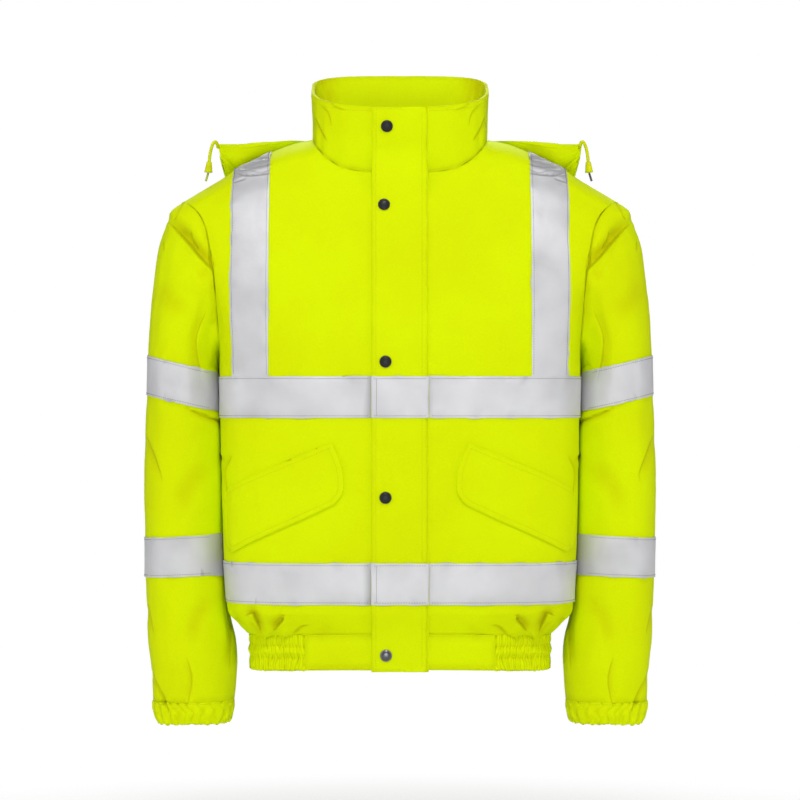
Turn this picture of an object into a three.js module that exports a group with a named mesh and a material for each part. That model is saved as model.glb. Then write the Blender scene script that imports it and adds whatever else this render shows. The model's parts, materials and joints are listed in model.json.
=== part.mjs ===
// A hi-vis bomber work jacket, filled out as when it is worn, with its hood hanging down the back.
// Millimetres, +Z up, the front faces -Y and the wearer's left is +X.
// The origin is between the shoulders, level with the place where the collar meets the shoulder line.
// The torso is a stack of rounded sections. Above the armpits its front and back curve in to a shoulder
// ridge. Every panel, tape and flap is a wall over points of that form or of the sleeves.

import * as THREE from "three";
import { mergeVertices } from "three/addons/utils/BufferGeometryUtils.js";

// Walls and gaps
const SHELL = 2.4; // body and sleeves
const COLLAR_WALL = 4;
const BAND_WALL = 2.4;
const FLAP_WALL = 1.8;
const HOOD_WALL = 1.6;
const TAPE_WALL = 0.8;
const SEAM = 0.3; // gap between two pieces that are sewn together
const LIFT = 0.35; // gap under a piece that lies on another

// Levels, from the origin
const ARMPIT_Z = -280;
const CHEST_TAPE_TOP = -294;
const HEM_TAPE_TOP = -521;
const TAPE_WIDTH = 50;
const HEM_SEAM_Z = -612;
const BAND_BOTTOM_Z = -656;
const HEM_RISE = 5; // the hem is this much higher at the front centre than at the sides
const RISE_FROM_Z = HEM_TAPE_TOP - TAPE_WIDTH;

// Places across the body
const BRACE_INNER_X = 160.5; // inner edge of the vertical tapes
const FLAP_HALF = 34.5; // half the width of the storm flap
const FLAP_BOTTOM_Z = -653;

function table(names, rows) {
  return rows.map((row) => Object.fromEntries(names.map((name, i) => [name, row[i]])));
}

// A smooth curve through a table's column, with no overshoot between its rows.
function curve(rows, key, column) {
  const xs = rows.map((row) => row[key]);
  const ys = rows.map((row) => row[column]);
  const slopes = xs.slice(1).map((x, i) => (ys[i + 1] - ys[i]) / (x - xs[i]));
  const tangent = xs.map((_, i) => {
    const before = slopes[Math.max(0, i - 1)];
    const after = slopes[Math.min(slopes.length - 1, i)];
    return before * after <= 0 ? 0 : (2 * before * after) / (before + after);
  });
  return (x) => {
    let i = 0;
    while (i < xs.length - 2 && x > xs[i + 1]) i++;
    const width = xs[i + 1] - xs[i];
    const t = Math.min(1, Math.max(0, (x - xs[i]) / width));
    const rise = ys[i + 1] - ys[i];
    const a = tangent[i] * width;
    const b = tangent[i + 1] * width;
    return ys[i] + t * (a + t * (3 * rise - 2 * a - b + t * (a + b - 2 * rise)));
  };
}

const mix = (a, b, t) => a + (b - a) * t;
const clamp01 = (t) => Math.min(1, Math.max(0, t));
const smooth = (t) => clamp01(t) ** 2 * (3 - 2 * clamp01(t));
const V = (x, y, z) => new THREE.Vector3(x, y, z);

// The torso's sections: half width, depth in front of and behind the side seams, and how square each is.
const TORSO = table(
  ["z", "half", "front", "back", "square"],
  [
    [-656, 187, 110, 98, 3],
    [-612, 187.5, 111, 100, 3],
    [-604, 196, 113, 103, 3.2],
    [-594, 206, 115.5, 106, 3.4],
    [-585, 211.5, 117, 107.5, 3.6],
    [-571, 215.5, 118, 108.5, 3.7],
    [-521, 218.5, 119.5, 109, 3.9],
    [-440, 221, 121, 110, 4],
    [-344, 223, 120, 111, 4],
    [-280, 224, 118, 112, 4],
    [-248, 224.4, 117.5, 114, 4.5],
    [-202, 229.5, 116, 116, 5.5],
    [-165, 241, 114.5, 116.5, 6],
    [-133, 252, 113, 116, 6],
    [-110, 258, 111, 114, 6],
    [-90, 268, 109, 112, 6],
    [-75, 280, 108, 110, 6],
    [-40, 292, 107, 106, 6],
    [0, 302, 105, 101, 6],
    [40, 312, 103, 97, 6],
  ],
);
// The shoulder ridge, where front and back meet.
const RIDGE = table(
  ["x", "z"],
  [
    [0, 27],
    [60, 18],
    [90, 9.5],
    [109, 2.5],
    [131, -2],
    [150, -8.5],
    [180, -22],
    [203, -33],
    [219, -44],
    [244, -59],
    [271, -75],
    [300, -94],
    [340, -122],
  ],
);
const RIDGE_ROUNDNESS = { front: 2.5, back: 3 };

const halfAt = curve(TORSO, "z", "half");
const squareAt = curve(TORSO, "z", "square");
const depthAt = { front: curve(TORSO, "z", "front"), back: curve(TORSO, "z", "back") };
const ridgeZ = curve(RIDGE, "x", "z");

// How far up from the armpit level to the ridge a place is, as a share.
const shareUp = (x, z) => clamp01((z - ARMPIT_Z) / (ridgeZ(x) - ARMPIT_Z));
const zOfShare = (x, share) => mix(ARMPIT_Z, ridgeZ(x), share);

// Depth of the form at a place of its front or back, from the plane of the side seams.
function formDepth(side, x, z) {
  const across = Math.abs(x) / halfAt(z);
  const n = squareAt(z);
  const q = RIDGE_ROUNDNESS[side];
  const round = clamp01(1 - across ** n) ** (1 / n);
  const under = z > ARMPIT_Z ? clamp01(1 - shareUp(Math.abs(x), z) ** q) ** (1 / q) : 1;
  return depthAt[side](z) * round * under;
}
const towards = { front: -1, back: 1 };

// Armhole: the rows of the yoke end on these points, from the armpit up to the shoulder tip.
const ARMHOLE = table(
  ["x", "z"],
  [
    [224, -280],
    [222.8, -248],
    [225, -205],
    [228, -168],
    [233, -138],
    [238, -113],
    [245, -97],
    [253, -87],
    [262, -80],
    [271, -75],
  ],
);
// Neckline: the rows start on the centre line, then on the neckline, and end where collar meets shoulder.
const NECKLINE = {
  front: table(
    ["x", "z"],
    [
      [0.2, -280],
      [0.2, -212],
      [0.2, -151],
      [0.2, -96],
      [0.2, -44],
      [38, -43.4],
      [70, -37.3],
      [92, -23.2],
      [104, -9.3],
      [109, 2.5],
    ],
  ),
  back: table(
    ["x", "z"],
    [
      [0, -280],
      [0, -235],
      [0, -190],
      [0, -145],
      [0, -100],
      [0, -48],
      [0, 10],
      [52, 9.4],
      [88, 7],
      [109, 2.5],
    ],
  ),
};
const NECK_START = { front: 4, back: 6 }; // the row at the centre of the neckline
const RIDGE_ROW = ARMHOLE.length - 1;

// Levels of the rows below the armpits, from the hem seam up.
const LOWER_ROWS = [-612, -600, -586, -571, -521, -478, -434, -389, -344, -294, -280];
// Distances along a row from the centre, at the armpit level. BRACE_COLUMN is the inner edge of the
// vertical tape, and its outer edge is BRACE_COLUMNS later.
const STATIONS = [0, 35.5, 80, 122];
const BRACE_COLUMN = STATIONS.length;
const BRACE_COLUMNS = 3;
const SIDE_COLUMNS = 4;
const EDGE_COLUMN = BRACE_COLUMN + BRACE_COLUMNS + SIDE_COLUMNS;
const ROW_SAMPLES = 400;

const riseAt = (side, z, lean) =>
  side === "front" ? HEM_RISE * smooth((RISE_FROM_Z - z) / (RISE_FROM_Z - HEM_SEAM_Z)) * lean ** 2 : 0;

// Points of one torso section, from the centre (angle 0) to the side seam (a quarter turn).
function sectionPoint(side, z, angle) {
  const n = squareAt(z);
  const x = halfAt(z) * Math.sin(angle) ** (2 / n);
  const y = towards[side] * depthAt[side](z) * Math.cos(angle) ** (2 / n);
  return V(x, y, z + riseAt(side, z, Math.cos(angle)));
}

function lowerRow(side, z) {
  return Array.from({ length: ROW_SAMPLES + 1 }, (_, i) =>
    sectionPoint(side, z, (Math.PI / 2) * (i / ROW_SAMPLES)),
  );
}

// A row of the yoke, from the centre line or the neckline to the armhole.
function yokeRow(side, row) {
  const start = NECKLINE[side][row];
  const end = ARMHOLE[row];
  const startShare = shareUp(start.x, start.z);
  const endShare = shareUp(end.x, end.z);
  const endAngle = Math.asin(clamp01(end.x / halfAt(end.z)) ** (squareAt(end.z) / 2));
  return Array.from({ length: ROW_SAMPLES + 1 }, (_, i) => {
    const t = i / ROW_SAMPLES;
    const even = mix(start.x, end.x, t);
    const angled = start.x + ((end.x - start.x) * Math.sin(endAngle * t)) / Math.sin(endAngle);
    const x = mix(even, angled, 0.8);
    const share = mix(startShare, endShare, smooth((x - start.x) / (end.x - start.x)));
    const z = zOfShare(x, share);
    return V(x, towards[side] * formDepth(side, x, z), z);
  });
}

// Distances along a line of points.
function runs(line) {
  const along = [0];
  line.slice(1).forEach((p, i) => along.push(along[i] + p.distanceTo(line[i])));
  return along;
}

// The point of a line at a distance along it.
function pointAlong(line, along, distance) {
  let i = 0;
  while (i < line.length - 2 && along[i + 1] < distance) i++;
  const t = clamp01((distance - along[i]) / Math.max(1e-9, along[i + 1] - along[i]));
  return line[i].clone().lerp(line[i + 1], t);
}

function distanceToX(line, along, x) {
  const i = line.findIndex((p) => p.x >= x);
  const t = (x - line[i - 1].x) / (line[i].x - line[i - 1].x);
  return mix(along[i - 1], along[i], t);
}

// The columns of a row: the vertical tape keeps its true width, the rest is shared out.
function columnsOf(line, braceStart, firstStation) {
  const along = runs(line);
  const total = along[along.length - 1];
  const share = braceStart / STATIONS_END;
  const distances = STATIONS.map((s, i) => (i === 1 ? firstStation : s * share));
  for (let i = 0; i <= BRACE_COLUMNS; i++) distances.push(braceStart + (TAPE_WIDTH * i) / BRACE_COLUMNS);
  const braceEnd = braceStart + TAPE_WIDTH;
  for (let i = 1; i <= SIDE_COLUMNS; i++) distances.push(mix(braceEnd, total, i / SIDE_COLUMNS));
  return distances.map((d) => pointAlong(line, along, d));
}

const armpitRow = { front: lowerRow("front", ARMPIT_Z), back: lowerRow("back", ARMPIT_Z) };
const STATIONS_END = distanceToX(armpitRow.front, runs(armpitRow.front), BRACE_INNER_X);
const armpitLength = {
  front: runs(armpitRow.front)[ROW_SAMPLES],
  back: runs(armpitRow.back)[ROW_SAMPLES],
};

// Soft folds that stand above the elastic hem, strongest at the sides.
const HEM_FOLD_DEPTH = 2.6;
function hemFold(column, z) {
  const height = clamp01((z - HEM_SEAM_Z) / (RISE_FROM_Z - HEM_SEAM_Z));
  const envelope = Math.sin(Math.PI * height) * smooth((column - 3) / 3);
  return HEM_FOLD_DEPTH * envelope * (column % 2 ? 1 : -1);
}

// A quarter of the body as a grid: rows from the hem seam to the shoulder ridge, columns from the
// centre to the side seam and armhole. mirror is -1 on the wearer's right.
function quarterGrid(side, mirror) {
  const rows = LOWER_ROWS.map((z) => {
    const line = lowerRow(side, z);
    const scale = runs(line)[ROW_SAMPLES] / armpitLength[side];
    const start = STATIONS_END * scale - (TAPE_WIDTH * (1 - scale)) / 2;
    const points = columnsOf(line, start, STATIONS[1]);
    return points.map((p, column) => {
      const out = V(p.x, p.y, 0).normalize();
      return p.addScaledVector(out, column === EDGE_COLUMN ? 0 : hemFold(column, z));
    });
  });
  for (let row = 1; row <= RIDGE_ROW; row++) {
    const line = yokeRow(side, row);
    const along = runs(line);
    const start = distanceToX(line, along, BRACE_INNER_X);
    rows.push(columnsOf(line, start, (STATIONS[1] * start) / STATIONS_END));
  }
  rows.slice(0, LOWER_ROWS.length).forEach((points) => {
    points[0].x = NECKLINE[side][0].x;
    points[EDGE_COLUMN].y = 0;
  });
  rows[rows.length - 1].forEach((p) => (p.y = 0));
  return rows.map((points) => points.map((p) => V(p.x * mirror, p.y, p.z)));
}

const ARMPIT_ROW = LOWER_ROWS.length - 1;
const TOP_ROW = ARMPIT_ROW + RIDGE_ROW;
const rowOf = (z) => LOWER_ROWS.indexOf(z);

const keyOf = (p) => p.toArray().map((c) => Math.round(c * 1000)).join(",");

// Adds each cell's normal to its corners, so that panels that share a seam share its normals.
function addNormals(normals, grid, outwards) {
  for (let j = 0; j + 1 < grid.length; j++) {
    for (let i = 0; i + 1 < grid[j].length; i++) {
      const corners = [grid[j][i], grid[j][i + 1], grid[j + 1][i + 1], grid[j + 1][i]];
      const across = corners[2].clone().sub(corners[0]);
      const up = corners[3].clone().sub(corners[1]);
      const normal = across.cross(up).multiplyScalar(outwards);
      corners.forEach((p) => {
        const key = keyOf(p);
        if (!normals.has(key)) normals.set(key, V(0, 0, 0));
        normals.get(key).add(normal);
      });
    }
  }
}

const normalOf = (normals, p) => normals.get(keyOf(p)).clone().normalize();

const quarter = {};
const bodyNormals = new Map();
for (const side of ["front", "back"]) {
  for (const mirror of [-1, 1]) {
    const grid = quarterGrid(side, mirror);
    quarter[side + mirror] = grid;
    addNormals(bodyNormals, grid, mirror * (side === "front" ? 1 : -1));
  }
}

// Whether a cell stands out along the diagonal of its first corner, so that a piece which lies on
// another is creased along the same diagonals.
function bulges(points, corners) {
  const [a, b, c, d] = corners.map((corner) => points[corner]);
  const out = corners.reduce((sum, corner) => sum.add(points[corner]).sub(points[corner + 1]), V(0, 0, 0));
  return a.clone().add(c).sub(b).sub(d).dot(out) >= 0;
}

// A closed wall over patches that meet edge to edge. Each patch is two grids of points, the outer and
// the inner face. Outer points have even numbers, and each inner point follows its outer one.
function wallOf(name, material, patches) {
  const points = [];
  const numbers = new Map();
  const triangles = [];
  const edges = new Set();
  const numberOf = (outer, inner) => {
    const key = keyOf(outer);
    if (!numbers.has(key)) {
      numbers.set(key, points.length);
      points.push(outer, inner);
    }
    return numbers.get(key);
  };
  const quad = (a, b, c, d) => triangles.push(a, b, c, a, c, d);
  for (const [outer, inner] of patches) {
    const grid = outer.map((row, j) => row.map((p, i) => numberOf(p, inner[j][i])));
    for (let j = 0; j + 1 < grid.length; j++) {
      for (let i = 0; i + 1 < grid[j].length; i++) {
        const corners = [grid[j][i], grid[j][i + 1], grid[j + 1][i + 1], grid[j + 1][i]];
        const [a, b, c, d] = bulges(points, corners) ? corners : [...corners.slice(1), corners[0]];
        quad(a, b, c, d);
        quad(c + 1, b + 1, a + 1, d + 1);
        corners.forEach((corner, k) => edges.add(`${corner},${corners[(k + 1) % 4]}`));
      }
    }
  }
  for (const edge of edges) {
    const [from, to] = edge.split(",").map(Number);
    if (!edges.has(`${to},${from}`)) quad(to, from, from + 1, to + 1);
  }
  const geometry = new THREE.BufferGeometry();
  geometry.setAttribute("position", new THREE.Float32BufferAttribute(points.flatMap((p) => p.toArray()), 3));
  geometry.setIndex(triangles);
  return closedMesh(name, material, geometry);
}

const wallMesh = (name, material, outer, inner) => wallOf(name, material, [[outer, inner]]);

// The same for a tube, whose rows are rings.
const ringed = (rings) => rings.map((points) => [...points, points[0]]);
const tubeMesh = (name, material, outer, inner) => wallMesh(name, material, ringed(outer), ringed(inner));

// Six times the signed volume, which is negative where the faces point inwards.
function signedVolume(geometry) {
  const position = geometry.getAttribute("position");
  const corner = (i) => new THREE.Vector3().fromBufferAttribute(position, geometry.index.getX(i));
  let sum = 0;
  for (let i = 0; i < geometry.index.count; i += 3) {
    sum += corner(i).dot(corner(i + 1).cross(corner(i + 2)));
  }
  return sum;
}

function closedMesh(name, material, geometry) {
  if (signedVolume(geometry) < 0) {
    const index = Array.from(geometry.index.array);
    geometry.setIndex(index.map((_, i) => index[i - (i % 3) + (2 - (i % 3))]));
  }
  geometry.computeVertexNormals();
  const mesh = new THREE.Mesh(geometry, material);
  mesh.name = name;
  return mesh;
}

// Draws the edges of a grid in by half a seam gap, so that neighbours stay apart.
function drawnIn(grid, edges) {
  const gap = SEAM / 2 + 0.05;
  const moved = grid.map((points) => points.map((p) => p.clone()));
  const pull = (from, to, target) => target.add(to.clone().sub(from).setLength(gap));
  const last = grid[0].length - 1;
  const top = grid.length - 1;
  grid.forEach((points, j) => {
    if (edges.includes("start")) pull(points[0], points[1], moved[j][0]);
    if (edges.includes("end")) pull(points[last], points[last - 1], moved[j][last]);
  });
  grid[0].forEach((_, i) => {
    if (edges.includes("bottom")) pull(grid[0][i], grid[1][i], moved[0][i]);
    if (edges.includes("top")) pull(grid[top][i], grid[top - 1][i], moved[top][i]);
  });
  return moved;
}

const offsetGrid = (grid, normals, amount, base = grid) =>
  grid.map((points, j) =>
    points.map((p, i) => p.clone().addScaledVector(normalOf(normals, base[j][i]), amount)),
  );

function panel(name, patches) {
  const walls = patches.map(({ grid, edges }) => {
    const outer = drawnIn(grid, edges);
    return [outer, offsetGrid(outer, bodyNormals, -SHELL, grid)];
  });
  return wallOf(name, MATERIAL.cloth, walls);
}

// A tape on part of a grid: the grid's own points, moved out.
function tapeOn(name, grid, normals, edges) {
  const drawn = drawnIn(grid, edges);
  return wallMesh(
    name,
    MATERIAL.tape,
    offsetGrid(drawn, normals, LIFT + TAPE_WALL, grid),
    offsetGrid(drawn, normals, LIFT, grid),
  );
}

const cut = (grid, row, rowEnd, column, columnEnd) =>
  grid.slice(row, rowEnd + 1).map((points) => points.slice(column, columnEnd + 1));

const material = (color, roughness, metalness = 0) =>
  new THREE.MeshStandardMaterial({ color, roughness, metalness });
const MATERIAL = {
  cloth: material(0xd8f000, 0.75),
  tape: material(0xcfcfd2, 0.45, 0.3),
  snap: material(0x2a2a2e, 0.35, 0.8),
  cord: material(0xd6ea00, 0.8),
  fitting: material(0xd2e400, 0.5),
  dark: material(0x4a4a4e, 0.5),
};
const SIDES = [
  { name: "right", mirror: -1 },
  { name: "left", mirror: 1 },
];

function bodyPanels() {
  const fronts = SIDES.map(({ name, mirror }) =>
    panel(`front_${name}`, [{ grid: quarter["front" + mirror], edges: ["bottom", "top", "end"] }]),
  );
  const left = { grid: quarter.back1, edges: ["bottom", "top", "end"] };
  const turned = quarter["back-1"].map((points) => [...points].reverse());
  const right = { grid: turned, edges: ["bottom", "top", "start"] };
  return [...fronts, panel("back", [right, left])];
}

function bodyTapes() {
  const made = [];
  const bands = [
    { name: "chest_tape", top: CHEST_TAPE_TOP },
    { name: "hem_tape", top: HEM_TAPE_TOP },
  ];
  for (const band of bands) {
    const from = rowOf(band.top - TAPE_WIDTH);
    const to = rowOf(band.top);
    for (const { name, mirror } of SIDES) {
      const grid = cut(quarter["front" + mirror], from, to, 1, EDGE_COLUMN);
      made.push(tapeOn(`${band.name}_${name}`, grid, bodyNormals, ["end"]));
    }
    const halves = [-1, 1].map((mirror) => cut(quarter["back" + mirror], from, to, 0, EDGE_COLUMN));
    const whole = halves[1].map((points, j) => [...halves[0][j].slice(1).reverse(), ...points]);
    made.push(tapeOn(`${band.name}_back`, whole, bodyNormals, ["start", "end"]));
  }
  for (const { name, mirror } of SIDES) {
    const strip = (side) =>
      cut(
        quarter[side + mirror],
        rowOf(CHEST_TAPE_TOP),
        TOP_ROW,
        BRACE_COLUMN,
        BRACE_COLUMN + BRACE_COLUMNS,
      );
    const whole = [...strip("front"), ...strip("back").reverse().slice(1)];
    made.push(tapeOn(`brace_tape_${name}`, whole, bodyNormals, ["bottom", "top"]));
  }
  return made;
}

// Sleeves: each ring runs through an outer and an inner point of the arm's outline, with a half depth
// front to back, the middle's distance behind the side seam, and how much of the armhole's own shape
// it keeps.
const SLEEVE = table(
  ["outerX", "outerZ", "innerX", "innerZ", "depth", "behind", "square", "armhole"],
  [
    [271, -75, 224, -280, 86, 0, 2.2, 1],
    [285, -86, 225.6, -281.3, 85, 1, 2.2, 0.85],
    [292.5, -100, 226, -282.6, 84, 3, 2.2, 0.68],
    [300, -124, 226, -284, 83, 6, 2.2, 0.5],
    [306.5, -163, 226, -285.4, 82, 9, 2.3, 0.3],
    [311.5, -210, 226, -287, 81, 12, 2.3, 0.12],
    [315, -267, 225, -289.4, 80, 15, 2.4, 0],
    [316.3, -315.6, 222, -338, 79, 17, 2.5, 0],
    [318.5, -352, 220, -368, 77, 18, 2.5, 0],
    [320, -400, 219, -410, 76, 18, 2.5, 0],
    [320.3, -447, 218, -450, 74, 17, 2.5, 0],
    [319, -493.8, 218, -488.2, 71, 14, 2.4, 0],
    [317.8, -542.5, 216, -538, 67, 10, 2.4, 0],
    [316, -585, 211, -580, 63, 5, 2.3, 0],
    [314.3, -625, 205, -622, 58, -1, 2.3, 0],
    [311.5, -662, 203.8, -660, 52, -6, 2.2, 0],
    [308, -697, 206.5, -695, 45, -9, 2.2, 0],
  ],
);
const SLEEVE_CLEAR = 3; // between sleeve and body side, with room for a tape on each
const UPPER_TAPE_RING = 6;
const LOWER_TAPE_RING = 11;
const ARMHOLE_MIDPOINTS = 3; // the armhole's lowest rows get a point halfway on the sleeve

// Folds of the sleeve, as lines in the front view: where they start and end, half width and depth.
const SLEEVE_FOLDS = table(
  ["x1", "z1", "x2", "z2", "reach", "depth"],
  [
    [300, -96, 236, -166, 15, 5],
    [304, -352, 226, -345, 14, 2.5],
    [312, -668, 290, -704, 13, 4],
  ],
);
function foldDepth(fold, x, z) {
  const along = V(fold.x2 - fold.x1, 0, fold.z2 - fold.z1);
  const t = clamp01(V(x - fold.x1, 0, z - fold.z1).dot(along) / along.lengthSq());
  const gap = Math.hypot(x - mix(fold.x1, fold.x2, t), z - mix(fold.z1, fold.z2, t));
  return fold.depth * Math.max(0, 1 - gap / fold.reach) ** 2 * (3 - 2 * Math.max(0, 1 - gap / fold.reach));
}

// The armhole's points on one side, from the armpit round the front, over the tip and down the back.
function armholeRing(mirror) {
  const up = (side) =>
    quarter[side + mirror].slice(ARMPIT_ROW).map((points) => points[EDGE_COLUMN].clone());
  const withMiddles = (line) =>
    line.flatMap((p, i) => (i > 0 && i <= ARMHOLE_MIDPOINTS ? [p.clone().lerp(line[i - 1], 0.5), p] : [p]));
  const front = withMiddles(up("front"));
  const back = withMiddles(up("back"));
  return [...front, ...back.slice(1, -1).reverse()];
}

// The body's outward normal at each of those points.
function armholeNormals(mirror, ring) {
  return ring.map((p) => {
    const n = V(0, 0, 0);
    for (const side of ["front", "back"]) {
      quarter[side + mirror].slice(ARMPIT_ROW).forEach((points) => {
        const edge = points[EDGE_COLUMN];
        n.addScaledVector(normalOf(bodyNormals, edge), 1 / (1 + edge.distanceTo(p) ** 3));
      });
    }
    return n.normalize();
  });
}

// A ring of a sleeve at an angle: 0 is the inner point, a half turn the outer one.
function sleeveOval(ring, angle) {
  const power = 2 / ring.square;
  const c = Math.cos(angle);
  const s = Math.sin(angle);
  const along = Math.sign(c) * Math.abs(c) ** power;
  const middleX = (ring.outerX + ring.innerX) / 2;
  const middleZ = (ring.outerZ + ring.innerZ) / 2;
  return V(
    middleX - ((ring.outerX - ring.innerX) / 2) * along,
    ring.behind - ring.depth * Math.sign(s) * Math.abs(s) ** power,
    middleZ - ((ring.outerZ - ring.innerZ) / 2) * along,
  );
}

// How far out the body's side is at a depth and level.
function bodySideX(y, z) {
  const side = y < 0 ? "front" : "back";
  const n = squareAt(z);
  const share = clamp01(1 - (Math.abs(y) / depthAt[side](z)) ** n);
  return halfAt(z) * share ** (1 / n);
}

const softMax = (a, b, reach) => {
  const gap = clamp01((reach - Math.abs(a - b)) / reach);
  return Math.max(a, b) + (gap * gap * reach) / 4;
};

function sleeveGrid(mirror) {
  const armhole = armholeRing(mirror).map((p) => V(p.x * mirror, p.y, p.z));
  const normals = armholeNormals(mirror, armholeRing(mirror)).map((n) => V(n.x * mirror, n.y, n.z));
  const along = runs([...armhole, armhole[0]]);
  const total = along[along.length - 1];
  const angles = armhole.map((_, i) => (2 * Math.PI * along[i]) / total);
  const first = SLEEVE[0];
  const rings = SLEEVE.map((ring, j) =>
    armhole.map((p, i) => {
      if (j === 0) return p.clone();
      const keep = p.clone().sub(sleeveOval(first, angles[i])).multiplyScalar(ring.armhole);
      const point = sleeveOval(ring, angles[i]).add(keep);
      if (j >= UPPER_TAPE_RING) {
        point.x = softMax(point.x, bodySideX(point.y, point.z) + SLEEVE_CLEAR, 4);
      }
      if (point.y < ring.behind) {
        const sink = SLEEVE_FOLDS.reduce((sum, fold) => sum + foldDepth(fold, point.x, point.z), 0);
        const middle = V((ring.outerX + ring.innerX) / 2, ring.behind, point.z);
        point.addScaledVector(middle.sub(point).normalize(), sink);
      }
      return point;
    }),
  );
  rings[0] = rings[0].map((p, i) => {
    const away = rings[1][i].clone().sub(p).setLength(LIFT);
    return p.clone().add(away).addScaledVector(normals[i], LIFT);
  });
  return rings.map((points) => points.map((p) => V(p.x * mirror, p.y, p.z)));
}

// Normals of a tube of rings, pointing out of the tube.
function tubeNormals(rings) {
  const normals = new Map();
  addNormals(normals, ringed(rings), 1);
  const points = rings[Math.floor(rings.length / 2)];
  const middle = points.reduce((sum, p) => sum.add(p), V(0, 0, 0)).divideScalar(points.length);
  const outwards = points.reduce((sum, p) => sum + normals.get(keyOf(p)).dot(p.clone().sub(middle)), 0);
  if (outwards < 0) normals.forEach((n) => n.negate());
  return normals;
}

const sleeve = {};
for (const { mirror } of SIDES) {
  const rings = sleeveGrid(mirror);
  sleeve[mirror] = { rings, normals: tubeNormals(rings) };
}

function sleeves() {
  const made = [];
  for (const { name, mirror } of SIDES) {
    const { rings, normals } = sleeve[mirror];
    const inner = offsetGrid(rings, normals, -SHELL);
    made.push(tubeMesh(`sleeve_${name}`, MATERIAL.cloth, rings, inner));
    for (const [tape, ring] of [
      ["upper_sleeve_tape", UPPER_TAPE_RING],
      ["lower_sleeve_tape", LOWER_TAPE_RING],
    ]) {
      const band = rings.slice(ring, ring + 2);
      const outer = offsetGrid(band, normals, LIFT + TAPE_WALL);
      const under = offsetGrid(band, normals, LIFT);
      made.push(tubeMesh(`${tape}_${name}`, MATERIAL.tape, outer, under));
    }
  }
  return made;
}

// Cuffs: an elastic band whose gathers stand out between the threads.
const CUFF = table(
  ["drop", "draw", "gather"],
  [
    [0, 0, 0.4],
    [0.5, 1.5, 1.7],
    [1, 6, 1.3],
  ],
);
const CUFF_LENGTH = 26;
const CUFF_GATHERS = 20;

function cuff(name, mirror) {
  const last = SLEEVE[SLEEVE.length - 1];
  const before = SLEEVE[SLEEVE.length - 2];
  const across = V(last.outerX - last.innerX, 0, last.outerZ - last.innerZ).normalize();
  const down = V(across.z, 0, -across.x);
  const lean = (last.behind - before.behind) / (before.innerZ - last.innerZ);
  const middle = V((last.outerX + last.innerX) / 2, last.behind, (last.outerZ + last.innerZ) / 2);
  const columns = CUFF_GATHERS * 2;
  const ring = (drop, draw, gather, inset) =>
    Array.from({ length: columns }, (_, i) => {
      const edge = sleeveOval(last, (2 * Math.PI * i) / columns);
      const out = edge.clone().sub(middle);
      const wave = i % 2 ? gather : -gather / 3;
      const point = middle.clone().addScaledVector(out, (out.length() - draw - inset + wave) / out.length());
      point.addScaledVector(down, SEAM + drop * CUFF_LENGTH);
      point.y += lean * drop * CUFF_LENGTH;
      return V(point.x * mirror, point.y, point.z);
    });
  const outer = CUFF.map((row) => ring(row.drop, row.draw, row.gather, 0));
  const inner = CUFF.map((row) => ring(row.drop, row.draw, row.gather / 2, BAND_WALL));
  return tubeMesh(`cuff_${name}`, MATERIAL.cloth, outer, inner);
}

// Waistband: flat at the front and the middle of the back, elastic between.
const BAND_FLAT = 117; // length of each flat stretch from its centre
const BAND_ROWS = table(
  ["down", "puff"],
  [
    [0, 0],
    [0.34, -0.9],
    [0.5, 0.5],
    [0.67, -0.9],
    [1, -0.3],
  ],
);
const RIBS = 30; // on each elastic stretch
const RIB_HEIGHT = 1.1;

// Points round the hem from the centre front to the centre back, by distance along it.
function bandLine(down, mirror) {
  const z = mix(HEM_SEAM_Z, BAND_BOTTOM_Z, down);
  const points = [...lowerRow("front", z), ...lowerRow("back", z).reverse().slice(1)];
  return points.map((p) => V(p.x * mirror, p.y, p.z - (down === 0 ? SEAM : 0)));
}

// A place on the band: a distance round it from the centre front, and how far out it stands.
function bandPoint(line, mirror, place, out) {
  const along = runs(line);
  const total = along[along.length - 1];
  const ahead = pointAlong(line, along, Math.min(total, place + 4));
  const side = ahead.sub(pointAlong(line, along, Math.max(0, place - 4)));
  const outwards = V(side.y, -side.x, 0).multiplyScalar(mirror).normalize();
  return pointAlong(line, along, place).addScaledVector(outwards, out);
}

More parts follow.
